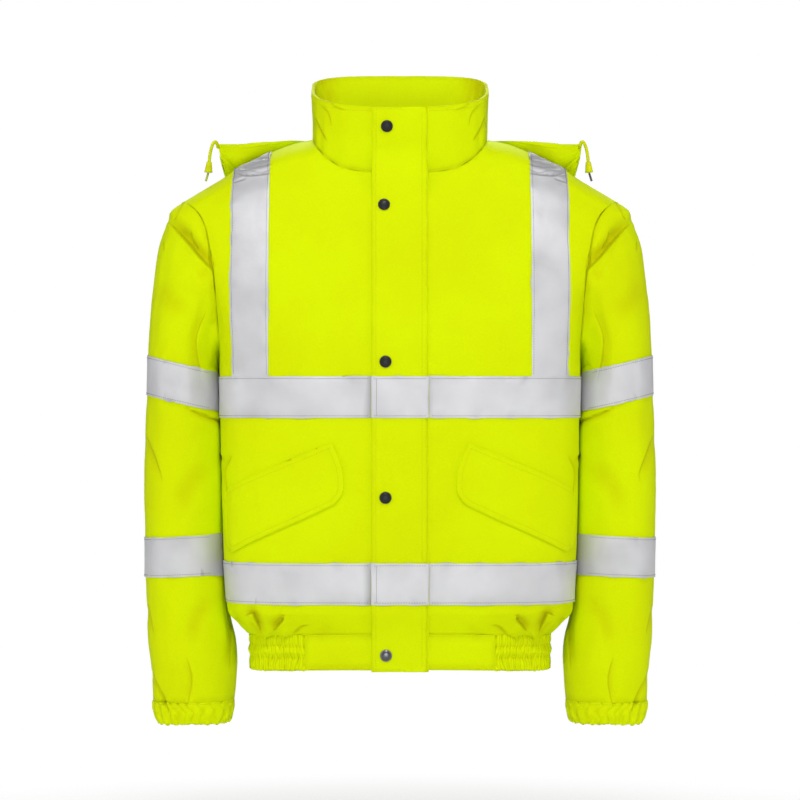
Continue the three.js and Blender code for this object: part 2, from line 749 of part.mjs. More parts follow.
function waistband() {
  const made = [];
  const flatCells = 4;
  const [topRow, lowRow] = [BAND_ROWS[0], BAND_ROWS[BAND_ROWS.length - 1]];
  for (const { name, mirror } of SIDES) {
    const flat = (out) =>
      [topRow, lowRow].map((row) => {
        const line = bandLine(row.down, mirror);
        return Array.from({ length: flatCells + 1 }, (_, i) =>
          bandPoint(line, mirror, mix(NECKLINE.front[0].x, BAND_FLAT, i / flatCells), out),
        );
      });
    made.push(wallMesh(`waistband_front_${name}`, MATERIAL.cloth, flat(0), flat(-BAND_WALL)));
    const cells = RIBS * 2;
    const wave = (i) => (i > 0 && i < cells ? (i % 2 ? RIB_HEIGHT : -RIB_HEIGHT / 2) : 0);
    const ribbed = (outOf) =>
      BAND_ROWS.map((row) => {
        const line = bandLine(row.down, mirror);
        const start = BAND_FLAT + SEAM;
        const along = runs(line);
        const end = along[along.length - 1] - start;
        return Array.from({ length: cells + 1 }, (_, i) =>
          bandPoint(line, mirror, mix(start, end, i / cells), outOf(i, row)),
        );
      });
    const outer = ribbed((i, row) => wave(i) + row.puff);
    made.push(wallMesh(`waistband_elastic_${name}`, MATERIAL.cloth, outer, ribbed(() => -BAND_WALL)));
  }
  const back = (out) =>
    [topRow, lowRow].map((row) => {
      const half = (mirror) => {
        const line = bandLine(row.down, mirror);
        const total = runs(line)[line.length - 1];
        return Array.from({ length: flatCells + 1 }, (_, i) =>
          bandPoint(line, mirror, mix(total - BAND_FLAT, total, i / flatCells), out),
        );
      };
      return [...half(-1), ...half(1).reverse().slice(1)];
    });
  made.push(wallMesh("waistband_back", MATERIAL.cloth, back(0), back(-BAND_WALL)));
  return made;
}

// Collar: its foot follows the neckline, its top is a tilted rounded ring.
const COLLAR_TOP = { half: 110.6, front: 95, back: 78, squareFront: 2.5, squareBack: 3.8 };
const COLLAR_TILT = 0.315; // rise for each millimetre back
const COLLAR_TOP_Z = 64.4; // where the top crosses the plane of the side seams
const COLLAR_ROWS = [0, 0.35, 0.7, 1];
const COLLAR_STEPS = { front: 2, back: 3 }; // columns from one point of the neckline to the next
const COLLAR_SEAM = 0.6;

function collarFoot(side, mirror) {
  const grid = quarter[side + mirror];
  const line = grid.slice(ARMPIT_ROW + NECK_START[side]).map((points) => points[0].clone());
  const steps = COLLAR_STEPS[side];
  return line.flatMap((p, i) =>
    i ? Array.from({ length: steps }, (_, k) => line[i - 1].clone().lerp(p, (k + 1) / steps)) : [p],
  );
}

function collarTopPoint(side, mirror, share) {
  const n = side === "front" ? COLLAR_TOP.squareFront : COLLAR_TOP.squareBack;
  const line = Array.from({ length: ROW_SAMPLES + 1 }, (_, i) => {
    const angle = (Math.PI / 2) * (i / ROW_SAMPLES);
    const y = towards[side] * COLLAR_TOP[side] * Math.cos(angle) ** (2 / n);
    return V(COLLAR_TOP.half * Math.sin(angle) ** (2 / n) * mirror, y, COLLAR_TOP_Z + COLLAR_TILT * y);
  });
  const along = runs(line);
  return pointAlong(line, along, share * along[ROW_SAMPLES]);
}

function collarGrid() {
  const halfLine = (mirror) => {
    const pairs = ["front", "back"].map((side) => {
      const foot = collarFoot(side, mirror);
      const along = runs(foot);
      const total = along[along.length - 1];
      return foot.map((p, i) => ({ foot: p, top: collarTopPoint(side, mirror, along[i] / total) }));
    });
    return [...pairs[0], ...pairs[1].reverse().slice(1)];
  };
  const right = halfLine(-1);
  const left = halfLine(1);
  const gap = NECKLINE.front[0].x;
  right[0].top.x = -gap;
  left[0].top.x = gap;
  const whole = [...right, ...left.reverse().slice(1)];
  return COLLAR_ROWS.map((t) =>
    whole.map(({ foot, top }) => {
      const up = top.clone().sub(foot);
      return foot.clone().addScaledVector(up, mix(COLLAR_SEAM / up.length(), 1, t));
    }),
  );
}

const collarRows = collarGrid();

function collar() {
  const normals = new Map();
  addNormals(normals, collarRows, -1);
  const inner = collarRows.map((points) =>
    points.map((p) => {
      const n = normalOf(normals, p);
      return p.clone().addScaledVector(V(n.x, n.y, 0).normalize(), -COLLAR_WALL);
    }),
  );
  return wallMesh("collar", MATERIAL.cloth, collarRows, inner);
}

// Storm flap: a strip over the front opening, from the hem to the top of the collar. Between
// BRIDGE_FROM and BRIDGE_TO it spans the hollow where the collar starts.
const FLAP_COLUMNS = [-1, -0.5, 0, 0.5, 1].map((share) => share * FLAP_HALF);
const FLAP_ROWS = [
  FLAP_BOTTOM_Z, -630, -607, -586, -571, -546, -521, -478, -434, -389, -344, -319, -294, -280, -246, -212, -182,
  -151, -124, -96, -75, -58, -40, -20, 0, 18, 35,
];
const BRIDGE_FROM = -75;
const BRIDGE_TO = -20;
const FLAP_GAP = 0.5;

function collarFrontY(x, z) {
  const share = (Math.abs(x) / COLLAR_TOP.half) ** COLLAR_TOP.squareFront;
  const top = -COLLAR_TOP.front * (1 - share) ** (1 / COLLAR_TOP.squareFront);
  const neck = NECKLINE.front[NECK_START.front];
  const foot = -formDepth("front", x, neck.z);
  const topZ = COLLAR_TOP_Z + COLLAR_TILT * top;
  return mix(foot, top, (z - neck.z) / (topZ - neck.z));
}

function flapSeat(x, z) {
  if (z >= BRIDGE_TO) return collarFrontY(x, z);
  if (z <= BRIDGE_FROM) return -formDepth("front", x, z);
  const from = -formDepth("front", x, BRIDGE_FROM);
  return mix(from, collarFrontY(x, BRIDGE_TO), (z - BRIDGE_FROM) / (BRIDGE_TO - BRIDGE_FROM));
}

const flapPoint = (x, z, out) => V(x, flapSeat(x, z) - FLAP_GAP - out, z);

function stormFlap() {
  const layer = (out) => FLAP_ROWS.map((z) => FLAP_COLUMNS.map((x) => flapPoint(x, z, out)));
  const made = [wallMesh("storm_flap", MATERIAL.cloth, layer(FLAP_WALL), layer(0))];
  for (const [name, top] of [
    ["chest_tape_flap", CHEST_TAPE_TOP],
    ["hem_tape_flap", HEM_TAPE_TOP],
  ]) {
    const rows = FLAP_ROWS.filter((z) => z <= top && z >= top - TAPE_WIDTH);
    const tape = (out) => rows.map((z) => FLAP_COLUMNS.map((x) => flapPoint(x, z, FLAP_WALL + out)));
    made.push(wallMesh(name, MATERIAL.tape, tape(LIFT + TAPE_WALL), tape(LIFT)));
  }
  return made;
}

// A closed geometry with only its positions, its vertices merged.
function bare(geometry) {
  geometry.deleteAttribute("normal");
  geometry.deleteAttribute("uv");
  return mergeVertices(geometry, 1e-4);
}

// Snap fasteners: domed caps near the free edge of the storm flap.
const SNAP_RADIUS = 7.3;
const SNAP_HEIGHT = 2.4;
const SNAP_LIFT = 0.5; // off the flap, which curves a little under the cap
const SNAPS = table(
  ["name", "x", "z"],
  [
    ["snap_collar", -16, 12],
    ["snap_neck", -19.5, -84],
    ["snap_chest", -17.6, -276],
    ["snap_belly", -17.6, -441],
    ["snap_hem", -17, -633],
  ],
);

function snap({ name, x, z }) {
  const profile = [
    [0, 0],
    [SNAP_RADIUS - 0.6, 0],
    [SNAP_RADIUS, 0.7],
    [SNAP_RADIUS - 0.8, 1.5],
    [SNAP_RADIUS * 0.5, SNAP_HEIGHT - 0.25],
    [0, SNAP_HEIGHT],
  ].map(([r, h]) => new THREE.Vector2(r, h));
  const lathe = new THREE.LatheGeometry(profile, 16);
  const geometry = bare(lathe);
  const step = 4;
  const slope = (flapSeat(x, z + step) - flapSeat(x, z - step)) / (2 * step);
  const facing = V(0, -1, slope).normalize();
  const seat = flapPoint(x, z, FLAP_WALL).addScaledVector(facing, SNAP_LIFT);
  const turn = new THREE.Quaternion().setFromUnitVectors(V(0, 1, 0), facing);
  geometry.applyQuaternion(turn).translate(seat.x, seat.y, seat.z);
  return closedMesh(name, MATERIAL.snap, geometry);
}

// Pocket flaps: slanting flaps on the body's front quarter. Each row is a place along the body from
// its centre, and the levels of the flap's two edges there.
const POCKET = table(
  ["along", "top", "bottom"],
  [
    [68.6, -415, -430],
    [71.5, -401, -439.5],
    [80, -380.5, -449],
    [84.2, -374, -451.2],
    [95, -378.5, -456.4],
    [122, -389.7, -468.4],
    [161.6, -406.2, -485.8],
    [178.3, -413.1, -493.2],
    [195, -420, -500.7],
    [211.6, -427, -507.6],
    [223, -431.7, -506],
    [230, -434.6, -497],
  ],
);
const POCKET_ROWS = 4;

// A point of the front quarter and its normal, by column and level. Columns may be fractions.
function frontPlace(mirror, column, z) {
  const grid = quarter["front" + mirror];
  let row = 0;
  while (row < ARMPIT_ROW - 1 && LOWER_ROWS[row + 1] < z) row++;
  const t = clamp01((z - LOWER_ROWS[row]) / (LOWER_ROWS[row + 1] - LOWER_ROWS[row]));
  const i = Math.floor(column);
  const places = [row, row + 1].map((j) => ({
    point: grid[j][i].clone().lerp(grid[j][i + 1], column - i),
    normal: normalOf(bodyNormals, grid[j][i]).lerp(normalOf(bodyNormals, grid[j][i + 1]), column - i),
  }));
  return {
    point: places[0].point.lerp(places[1].point, t),
    normal: places[0].normal.lerp(places[1].normal, t).normalize(),
  };
}

function pocketFlap(name, mirror) {
  const lift = LIFT + 0.25;
  const along = runs(quarter.front1[rowOf(-434)]);
  const columnAt = (distance) => {
    const i = along.findIndex((d) => d >= distance - 0.5) - 1;
    const share = (distance - along[i]) / (along[i + 1] - along[i]);
    return i + (share > 0.97 ? 1 : share);
  };
  const layer = (out) =>
    Array.from({ length: POCKET_ROWS + 1 }, (_, j) =>
      POCKET.map((place) => {
        const level = mix(place.bottom, place.top, j / POCKET_ROWS);
        const { point, normal } = frontPlace(mirror, columnAt(place.along), level);
        return point.addScaledVector(normal, lift + out);
      }),
    );
  return wallMesh(`pocket_flap_${name}`, MATERIAL.cloth, layer(FLAP_WALL), layer(0));
}

// Hood: one sheet from the neck edge down the back, round a fold at the bottom and up to the face edge.
// Each row is a column of the sheet, from the centre out: where it starts, folds and ends, and how far
// the two layers lie apart.
const HOOD = table(
  ["x", "neckZ", "foldX", "foldZ", "rimX", "rimZ", "apart"],
  [
    [0, 4, 0, -292, 0, -150, 40],
    [30, 3.6, 30, -290, 30, -149, 40],
    [60, 2.6, 58, -282, 59, -144, 38],
    [88, 0.5, 85, -269, 87, -135, 35],
    [118, 4, 112, -247, 115, -122, 31],
    [150, 3.4, 142, -214, 146, -105, 26],
    [180, 2, 170, -170, 176, -84, 20],
    [206, 1, 194, -120, 203, -58, 13],
    [231, 0.7, 220, -50, 226, -24, 7],
  ],
);
const HOOD_CLEAR = 6; // from the back panel
const HOOD_SPAN = 11;
const HOOD_SEAM = 0.45; // from the back panel where the hood is sewn to it
const HOOD_SEWN_TO = 80; // the neck edge is sewn down this far from the centre
const HOOD_STAND_Y = 42; // the free corners stand this far behind the side seams
const HOOD_FREED_OVER = 15; // the neck edge rises free of the seam over this width
const HOOD_LIFTED_BY = 0.2; // the share of its drop in which a sewn column leaves the back
const HOOD_ROUNDING = 12; // of the bend where the sheet leaves the back for its free corner
const HOOD_DOWN = [0, 0.05, 0.12, 0.2, 0.3, 0.42, 0.58, 0.76, 0.95];
const HOOD_TURN = [0.25, 0.5, 0.75];
const HOOD_UP = [0.05, 0.35, 0.7, 1];

// The hood's sheet lies over the back a little way out from it, as if the back reached HOOD_SPAN further.
function hoodBackY(x, z, clear, span = HOOD_SPAN) {
  const nearX = Math.max(0, Math.abs(x) - span);
  const seats = [
    [nearX, z],
    [nearX, z - span * smooth((Math.abs(x) - HOOD_SEWN_TO) / HOOD_FREED_OVER)],
  ].map(([px, pz]) => (pz < ridgeZ(px) ? formDepth("back", px, pz) + clear : 0));
  return softMax(Math.max(...seats), Math.abs(x) < HOOD_SEWN_TO ? 0 : HOOD_STAND_Y, HOOD_ROUNDING);
}

function hoodColumn(row, mirror) {
  const points = [];
  const half = row.apart / 2;
  const turnZ = row.foldZ + half;
  const layer = (t) => {
    const x = mix(row.x, row.foldX, t);
    const z = mix(row.neckZ, turnZ, t);
    const off = row.x < HOOD_SEWN_TO ? smooth(t / HOOD_LIFTED_BY) : 1;
    return { x, z, y: hoodBackY(x, z, mix(HOOD_SEAM, HOOD_CLEAR, off), HOOD_SPAN * off) };
  };
  for (const t of HOOD_DOWN) {
    const p = layer(t);
    points.push(V(p.x, p.y, p.z));
  }
  const base = layer(1);
  for (const t of HOOD_TURN) {
    const angle = Math.PI * t;
    points.push(V(row.foldX, base.y + half * (1 - Math.cos(angle)), base.z - half * Math.sin(angle)));
  }
  for (const t of HOOD_UP) {
    const x = mix(row.foldX, row.rimX, t);
    const z = mix(turnZ, row.rimZ, t);
    const lean = half * 0.25 * Math.sin(Math.PI * t);
    points.push(V(x, hoodBackY(x, z, HOOD_CLEAR) + row.apart * mix(1, 0.8, t) + lean, z));
  }
  return points.map((p) => V(p.x * mirror, p.y, p.z));
}

function hood() {
  const right = HOOD.slice(1).reverse().map((row) => hoodColumn(row, -1));
  const left = HOOD.map((row) => hoodColumn(row, 1));
  const outer = [...right, ...left];
  const normals = new Map();
  addNormals(normals, outer, 1);
  const middle = outer[HOOD.length - 1][2];
  const sign = normalOf(normals, middle).y < 0 ? 1 : -1;
  return wallMesh("hood", MATERIAL.cloth, outer, offsetGrid(outer, normals, -HOOD_WALL * sign));
}

// Drawcord ends: each leaves the hood's corner, arches over and hangs, with a bell on its end.
const CORD_RADIUS = 1.7;
const CORD_ROUTE = table(
  ["x", "y", "z"],
  [
    [229.8, 41.65, -3.2],
    [229.9, 40, -3],
    [230.2, 38.2, -1.8],
    [230.9, 37.2, 0.8],
    [232.6, 36.5, 3],
    [234.9, 35.8, 1.9],
    [237, 35.2, -2.3],
    [238.6, 34.7, -8],
    [239.8, 34.3, -15],
    [240.4, 34.1, -22],
  ],
);
const CORD_SHIFT = { right: 0, left: 3.2 }; // the wearer's left cord leaves its corner further in
const CORD_SIDES = 8;
const CORD_STEPS = 10;
const BELL = { radii: [3.2, 5.2], length: 13.5 };
const TIP = { radii: [1.35, 1.35], length: 10.7, gap: 0.7, lean: 0.22 };

// A round piece whose axis runs from a point along a direction.
function roundPiece(name, material, from, direction, [startRadius, endRadius], length, sides) {
  const geometry = bare(new THREE.CylinderGeometry(endRadius, startRadius, length, sides));
  const turn = new THREE.Quaternion().setFromUnitVectors(V(0, 1, 0), direction);
  geometry.translate(0, length / 2, 0).applyQuaternion(turn).translate(from.x, from.y, from.z);
  return closedMesh(name, material, geometry);
}

function drawcord(name, mirror, tipMaterial) {
  const route = CORD_ROUTE.map((p) => V((p.x - CORD_SHIFT[name]) * mirror, p.y, p.z));
  const corners = Array.from({ length: CORD_SIDES }, (_, i) => {
    const angle = (2 * Math.PI * i) / CORD_SIDES;
    return new THREE.Vector2(CORD_RADIUS * Math.cos(angle), CORD_RADIUS * Math.sin(angle));
  });
  const extrudePath = new THREE.CatmullRomCurve3(route);
  const options = { steps: CORD_STEPS, bevelEnabled: false, extrudePath };
  const cord = bare(new THREE.ExtrudeGeometry(new THREE.Shape(corners), options));
  const down = extrudePath.getTangent(1);
  const bellTop = route[route.length - 1].clone().addScaledVector(down, SEAM);
  const tipTop = bellTop.clone().addScaledVector(down, BELL.length + TIP.gap);
  const lean = down.clone().add(V(TIP.lean * mirror, 0, 0)).normalize();
  return [
    closedMesh(`hood_cord_${name}`, MATERIAL.cord, cord),
    roundPiece(`cord_bell_${name}`, MATERIAL.fitting, bellTop, down, BELL.radii, BELL.length, 14),
    roundPiece(`cord_tip_${name}`, tipMaterial, tipTop, lean, TIP.radii, TIP.length, 8),
  ];
}

const jacket = new THREE.Group();
jacket.add(...bodyPanels(), ...bodyTapes(), ...sleeves(), ...waistband(), collar(), ...stormFlap());
jacket.add(...SNAPS.map(snap), hood());
for (const { name, mirror } of SIDES) {
  jacket.add(cuff(name, mirror), pocketFlap(name, mirror));
}
jacket.add(...drawcord("right", -1, MATERIAL.cord), ...drawcord("left", 1, MATERIAL.dark));

export default jacket;
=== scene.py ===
"""Builds the looks of a hi-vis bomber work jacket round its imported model: creased cloth, reflective
tapes, seams, stitches, snaps and drawcords."""

import json
import math

import bmesh
import bpy
import numpy as np
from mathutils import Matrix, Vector, noise
from mathutils.bvhtree import BVHTree
from mathutils.kdtree import KDTree

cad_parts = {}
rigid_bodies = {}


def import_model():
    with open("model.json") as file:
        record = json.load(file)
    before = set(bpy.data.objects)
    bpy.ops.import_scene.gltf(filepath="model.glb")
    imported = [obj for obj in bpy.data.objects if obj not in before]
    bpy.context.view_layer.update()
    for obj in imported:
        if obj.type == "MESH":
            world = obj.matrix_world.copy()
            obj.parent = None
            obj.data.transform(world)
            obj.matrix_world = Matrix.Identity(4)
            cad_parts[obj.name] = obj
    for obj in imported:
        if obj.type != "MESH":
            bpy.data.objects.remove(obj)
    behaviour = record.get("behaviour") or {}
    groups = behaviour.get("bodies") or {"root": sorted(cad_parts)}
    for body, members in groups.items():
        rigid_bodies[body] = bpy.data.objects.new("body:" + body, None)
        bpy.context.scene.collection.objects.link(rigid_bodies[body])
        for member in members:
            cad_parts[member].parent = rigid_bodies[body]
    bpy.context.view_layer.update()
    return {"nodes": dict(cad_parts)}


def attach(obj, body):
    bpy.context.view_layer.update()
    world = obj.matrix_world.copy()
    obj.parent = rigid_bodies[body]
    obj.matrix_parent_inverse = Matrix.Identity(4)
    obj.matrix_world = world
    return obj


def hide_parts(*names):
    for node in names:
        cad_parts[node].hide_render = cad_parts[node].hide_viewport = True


bl_info = {
    "name": "Hi-vis work jacket",
    "version": (1, 0, 0),
    "blender": (4, 5, 0),
    "location": "3D View > Sidebar > Jacket",
    "description": "Builds the pieces of a fluorescent bomber work jacket",
    "category": "Add Mesh",
}

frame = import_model()
NODES = frame["nodes"]
SIDES = {"right": -1, "left": 1}
MM = 0.001

# The photograph's view: how far the camera stands, and how high
CAMERA_DISTANCE = 4.0
CAMERA_HEIGHT = -0.3225
VIEW_WIDTH = 1.0  # of the plane between the side seams
SENSOR = 36.0

# The studio
FLOOR_Z = -0.9
FLOOR_RADIUS = 9.0
AMBIENT = 0.3
# Name, place, width and power of each light
LIGHTS = (
    ("key light", (0.0, -2.5, 2.8), 0.9, 65.0),
    ("front light", (0.0, -4.2, -0.5), 1.6, 40.0),
    ("left light", (-3.2, -1.4, 0.4), 1.0, 17.0),
    ("right light", (3.2, -1.4, 0.4), 1.0, 17.0),
    ("back light", (0.0, 2.8, 1.8), 1.6, 60.0),
)

# Where the drawcords run, in metres: the same points as their solids
CORD_ROUTE = [
    (0.2298, 0.04165, -0.0032),
    (0.2299, 0.0400, -0.0030),
    (0.2302, 0.0382, -0.0018),
    (0.2309, 0.0372, 0.0008),
    (0.2326, 0.0365, 0.0030),
    (0.2349, 0.0358, 0.0019),
    (0.2370, 0.0352, -0.0023),
    (0.2386, 0.0347, -0.0080),
    (0.2398, 0.0343, -0.0150),
    (0.2404, 0.0341, -0.0220),
]
CORD_SHIFT = {"right": 0.0, "left": 0.0032}
CORD_DIAMETER = 0.0042


class JacketSizes(bpy.types.PropertyGroup):
    """Sizes and colours of the jacket's finish."""

    cloth: bpy.props.FloatVectorProperty(
        name="Cloth",
        description="Colour of the fluorescent cloth",
        default=(0.71, 0.88, 0.0),
        subtype="COLOR",
        size=3,
    )
    tape: bpy.props.FloatVectorProperty(
        name="Tape",
        description="Colour of the reflective tape",
        default=(0.7, 0.7, 0.72),
        subtype="COLOR",
        size=3,
    )
    crease: bpy.props.FloatProperty(
        name="Crease depth",
        description="How deep the creases are, compared with the photograph's",
        default=1.0,
        min=0.0,
        max=2.0,
    )
    pucker: bpy.props.FloatProperty(
        name="Pucker",
        description="Height of the uneven puckering of the cloth",
        default=0.0007,
        subtype="DISTANCE",
        unit="LENGTH",
    )
    stitch: bpy.props.FloatProperty(
        name="Stitch length",
        description="Length of a stitch with the gap after it",
        default=0.0032,
        subtype="DISTANCE",
        unit="LENGTH",
    )


def sizes():
    return bpy.context.scene.jacket_sizes


def tree_input(tree, name, kind, value):
    socket = tree.interface.new_socket(name=name, in_out="INPUT", socket_type=kind)
    if value is not None:
        socket.default_value = value
    return socket


class Wiring:
    """Adds nodes to a tree and joins them."""

    def __init__(self, tree):
        self.tree = tree

    def add(self, kind, inputs=None, **settings):
        node = self.tree.nodes.new(kind)
        for name, value in settings.items():
            setattr(node, name, value)
        for name, value in (inputs or {}).items():
            if isinstance(value, bpy.types.NodeSocket):
                self.tree.links.new(value, node.inputs[name])
            else:
                node.inputs[name].default_value = value
        return node

    def math(self, operation, a, b=0.0):
        return self.add("ShaderNodeMath", {0: a, 1: b}, operation=operation).outputs[0]

    def mix(self, factor, a, b, kind="RGBA", blend="MIX"):
        node = self.add("ShaderNodeMix", data_type=kind, blend_type=blend)
        places = {"RGBA": (6, 7, 2), "FLOAT": (2, 3, 0)}[kind]
        for place, value in ((0, factor), (places[0], a), (places[1], b)):
            if isinstance(value, bpy.types.NodeSocket):
                self.tree.links.new(value, node.inputs[place])
            else:
                node.inputs[place].default_value = value
        return node.outputs[places[2]]

    def ramp(self, value, low, high):
        node = self.add("ShaderNodeMapRange", {"Value": value, "From Min": low, "From Max": high})
        return node.outputs["Result"]


def shader_group(name, inputs, outputs):
    """An empty shader node group with named sockets, and its wiring, input and output nodes."""
    tree = bpy.data.node_groups.new(name, "ShaderNodeTree")
    for socket, (kind, value) in inputs.items():
        tree_input(tree, socket, kind, value)
    for socket, kind in outputs.items():
        tree.interface.new_socket(name=socket, in_out="OUTPUT", socket_type=kind)
    wiring = Wiring(tree)
    return tree, wiring, wiring.add("NodeGroupInput"), wiring.add("NodeGroupOutput")


FLOAT, COLOUR, VECTOR = "NodeSocketFloat", "NodeSocketColor", "NodeSocketVector"


def weave_group():
    """Height of a plain weave that lies on the surface, whichever way it faces."""
    tree, w, given, out = shader_group(
        "Plain weave", {"Vector": (VECTOR, None), "Threads per metre": (FLOAT, 1600.0)}, {"Height": FLOAT}
    )
    parts = w.add("ShaderNodeSeparateXYZ", {0: given.outputs["Vector"]})
    around = w.math("ADD", parts.outputs["X"], parts.outputs["Y"])
    rate = w.math("MULTIPLY", given.outputs["Threads per metre"], math.pi)
    warp = w.math("SINE", w.math("MULTIPLY", around, rate))
    weft = w.math("SINE", w.math("MULTIPLY", parts.outputs["Z"], rate))
    height = w.math("MULTIPLY", warp, weft)
    tree.links.new(height, out.inputs["Height"])
    return tree


def unevenness_group():
    """A slow change of shade over a surface, and its fine grain."""
    tree, w, given, out = shader_group(
        "Uneven shade",
        {"Vector": (VECTOR, None), "Scale": (FLOAT, 9.0), "Grain scale": (FLOAT, 420.0)},
        {"Shade": FLOAT, "Grain": FLOAT},
    )
    slow = w.add(
        "ShaderNodeTexNoise",
        {"Vector": given.outputs["Vector"], "Scale": given.outputs["Scale"], "Detail": 3.0},
    )
    grain = w.add(
        "ShaderNodeTexNoise",
        {"Vector": given.outputs["Vector"], "Scale": given.outputs["Grain scale"], "Detail": 2.0},
    )
    tree.links.new(slow.outputs["Fac"], out.inputs["Shade"])
    tree.links.new(grain.outputs["Fac"], out.inputs["Grain"])
    return tree


def wear_and_painted_shade_group():
    """Where a surface stands out or folds in: its worn edges, and the painted shade of its hollows."""
    tree, w, given, out = shader_group(
        "Edges and hollows", {"Strength": (FLOAT, 1.0)}, {"Edge": FLOAT, "Hollow": FLOAT}
    )
    curve = w.add("ShaderNodeNewGeometry").outputs["Pointiness"]
    edge = w.ramp(curve, 0.52, 0.6)
    # Hollow: painted shade where the surface curves in
    hollow = w.ramp(curve, 0.49, 0.43)
    for name, value in (("Edge", edge), ("Hollow", hollow)):
        tree.links.new(w.math("MULTIPLY", value, given.outputs["Strength"]), out.inputs[name])
    return tree


class Finishes:
    """The jacket's materials, each made once."""

    def __init__(self):
        self.weave = weave_group()
        self.uneven = unevenness_group()
        self.wear_and_shade = wear_and_painted_shade_group()
        self.made = {}

    def group(self, wiring, tree, inputs):
        node = wiring.add("ShaderNodeGroup", node_tree=tree)
        for name, value in inputs.items():
            if isinstance(value, bpy.types.NodeSocket):
                wiring.tree.links.new(value, node.inputs[name])
            else:
                node.inputs[name].default_value = value
        return node

    def start(self, name, colour, roughness, specular=0.2, metallic=0.0, sheen=0.0):
        """A material with its Principled shader, its wiring and its object coordinates."""
        material = bpy.data.materials.new(name)
        material.use_nodes = True
        wiring = Wiring(material.node_tree)
        shader = material.node_tree.nodes["Principled BSDF"]
        shader.inputs["Base Color"].default_value = (*colour, 1.0)
        shader.inputs["Roughness"].default_value = roughness
        shader.inputs["Specular IOR Level"].default_value = specular
        shader.inputs["Metallic"].default_value = metallic
        shader.inputs["Sheen Weight"].default_value = sheen
        shader.inputs["Sheen Roughness"].default_value = 0.5
        place = wiring.add("ShaderNodeTexCoord").outputs["Object"]
        self.made[name] = material
        return material, wiring, shader, place

    def bump(self, wiring, shader, height, strength, distance):
        node = wiring.add(
            "ShaderNodeBump", {"Height": height, "Strength": strength, "Distance": distance}
        )
        wiring.tree.links.new(node.outputs["Normal"], shader.inputs["Normal"])

    def cloth(self):
        if "hi-vis cloth" in self.made:
            return self.made["hi-vis cloth"]
        colour = tuple(sizes().cloth)
        material, w, shader, place = self.start("hi-vis cloth", colour, 0.7, specular=0.04)
        uneven = self.group(w, self.uneven, {"Vector": place, "Scale": 7.0, "Grain scale": 800.0})
        wear_and_shade = self.group(w, self.wear_and_shade, {"Strength": 1.0})
        shaded = tuple(c * f for c, f in zip(colour, (0.97, 0.93, 1.0)))
        shade = w.ramp(uneven.outputs["Shade"], 0.35, 0.65)
        base = w.mix(shade, (*shaded, 1.0), (*colour, 1.0))
        # Painted shade: the cloth turns darker and olive in folds, gathers and puckers (the fold attribute)
        # and in its hollows
        deep = tuple(c * f for c, f in zip(colour, (0.82, 0.66, 1.0)))
        fold = w.add("ShaderNodeAttribute", attribute_name="fold").outputs["Fac"]
        inside = w.math("MAXIMUM", w.math("MULTIPLY", fold, 0.8), wear_and_shade.outputs["Hollow"])
        base = w.mix(inside, base, (*deep, 1.0))
        # Painted shadow: a dark line where the line attribute marks fold lines and seams
        line = w.add("ShaderNodeAttribute", attribute_name="line").outputs["Fac"]
        dark = tuple(c * f for c, f in zip(colour, (0.42, 0.32, 1.0)))
        base = w.mix(w.math("MULTIPLY", line, 0.8), base, (*dark, 1.0))
        speck = w.mix(w.ramp(uneven.outputs["Grain"], 0.36, 0.64), (0.95, 0.95, 0.95, 1), (1, 1, 1, 1))
        base = w.mix(1.0, base, speck, blend="MULTIPLY")
        w.tree.links.new(base, shader.inputs["Base Color"])
        rough = w.mix(uneven.outputs["Grain"], 0.62, 0.78, kind="FLOAT")
        w.tree.links.new(rough, shader.inputs["Roughness"])
        weave = self.group(w, self.weave, {"Vector": place, "Threads per metre": 1500.0})
        crumple = w.add("ShaderNodeTexNoise", {"Vector": place, "Scale": 75.0, "Detail": 4.0})
        height = w.math("ADD", w.math("MULTIPLY", weave.outputs["Height"], 0.4), uneven.outputs["Grain"])
        height = w.math("ADD", height, w.math("MULTIPLY", crumple.outputs["Fac"], 4.0))
        self.bump(w, shader, height, 0.6, 0.00022)
        return material

    def reflective(self):
        if "reflective tape" in self.made:
            return self.made["reflective tape"]
        colour = tuple(sizes().tape)
        material, w, shader, place = self.start(
            "reflective tape", colour, 0.5, specular=0.2, metallic=0.25
        )
        uneven = self.group(w, self.uneven, {"Vector": place, "Scale": 16.0, "Grain scale": 900.0})
        shade = w.ramp(uneven.outputs["Shade"], 0.32, 0.66)
        darker = tuple(c * 0.88 for c in colour)
        base = w.mix(shade, (*darker, 1.0), (*colour, 1.0))
        # Painted shade: the tape is darker where it faces upwards
        up = w.add("ShaderNodeSeparateXYZ", {0: w.add("ShaderNodeNewGeometry").outputs["Normal"]})
        upward_painted_shade = w.ramp(up.outputs["Z"], 0.4, 0.8)
        base = w.mix(upward_painted_shade, base, tuple(c * 0.56 for c in colour) + (1.0,))
        # Painted shade from the fold attribute, and painted shadow lines from the line attribute
        fold = w.add("ShaderNodeAttribute", attribute_name="fold").outputs["Fac"]
        line = w.add("ShaderNodeAttribute", attribute_name="line").outputs["Fac"]
        painted_fold_shade = w.math("MAXIMUM", w.math("MULTIPLY", fold, 0.6), w.math("MULTIPLY", line, 0.8))
        base = w.mix(painted_fold_shade, base, tuple(c * 0.42 for c in colour) + (1.0,))
        w.tree.links.new(base, shader.inputs["Base Color"])
        beads = w.add("ShaderNodeTexVoronoi", {"Vector": place, "Scale": 1500.0})
        crumple = w.add("ShaderNodeTexNoise", {"Vector": place, "Scale": 60.0, "Detail": 5.0})
        height = w.math("MULTIPLY", beads.outputs["Distance"], -0.6)
        height = w.math("ADD", height, uneven.outputs["Grain"])
        height = w.math("ADD", height, w.math("MULTIPLY", crumple.outputs["Fac"], 4.0))
        self.bump(w, shader, height, 0.6, 0.00022)
        rough = w.mix(uneven.outputs["Grain"], 0.45, 0.6, kind="FLOAT")
        w.tree.links.new(rough, shader.inputs["Roughness"])
        return material

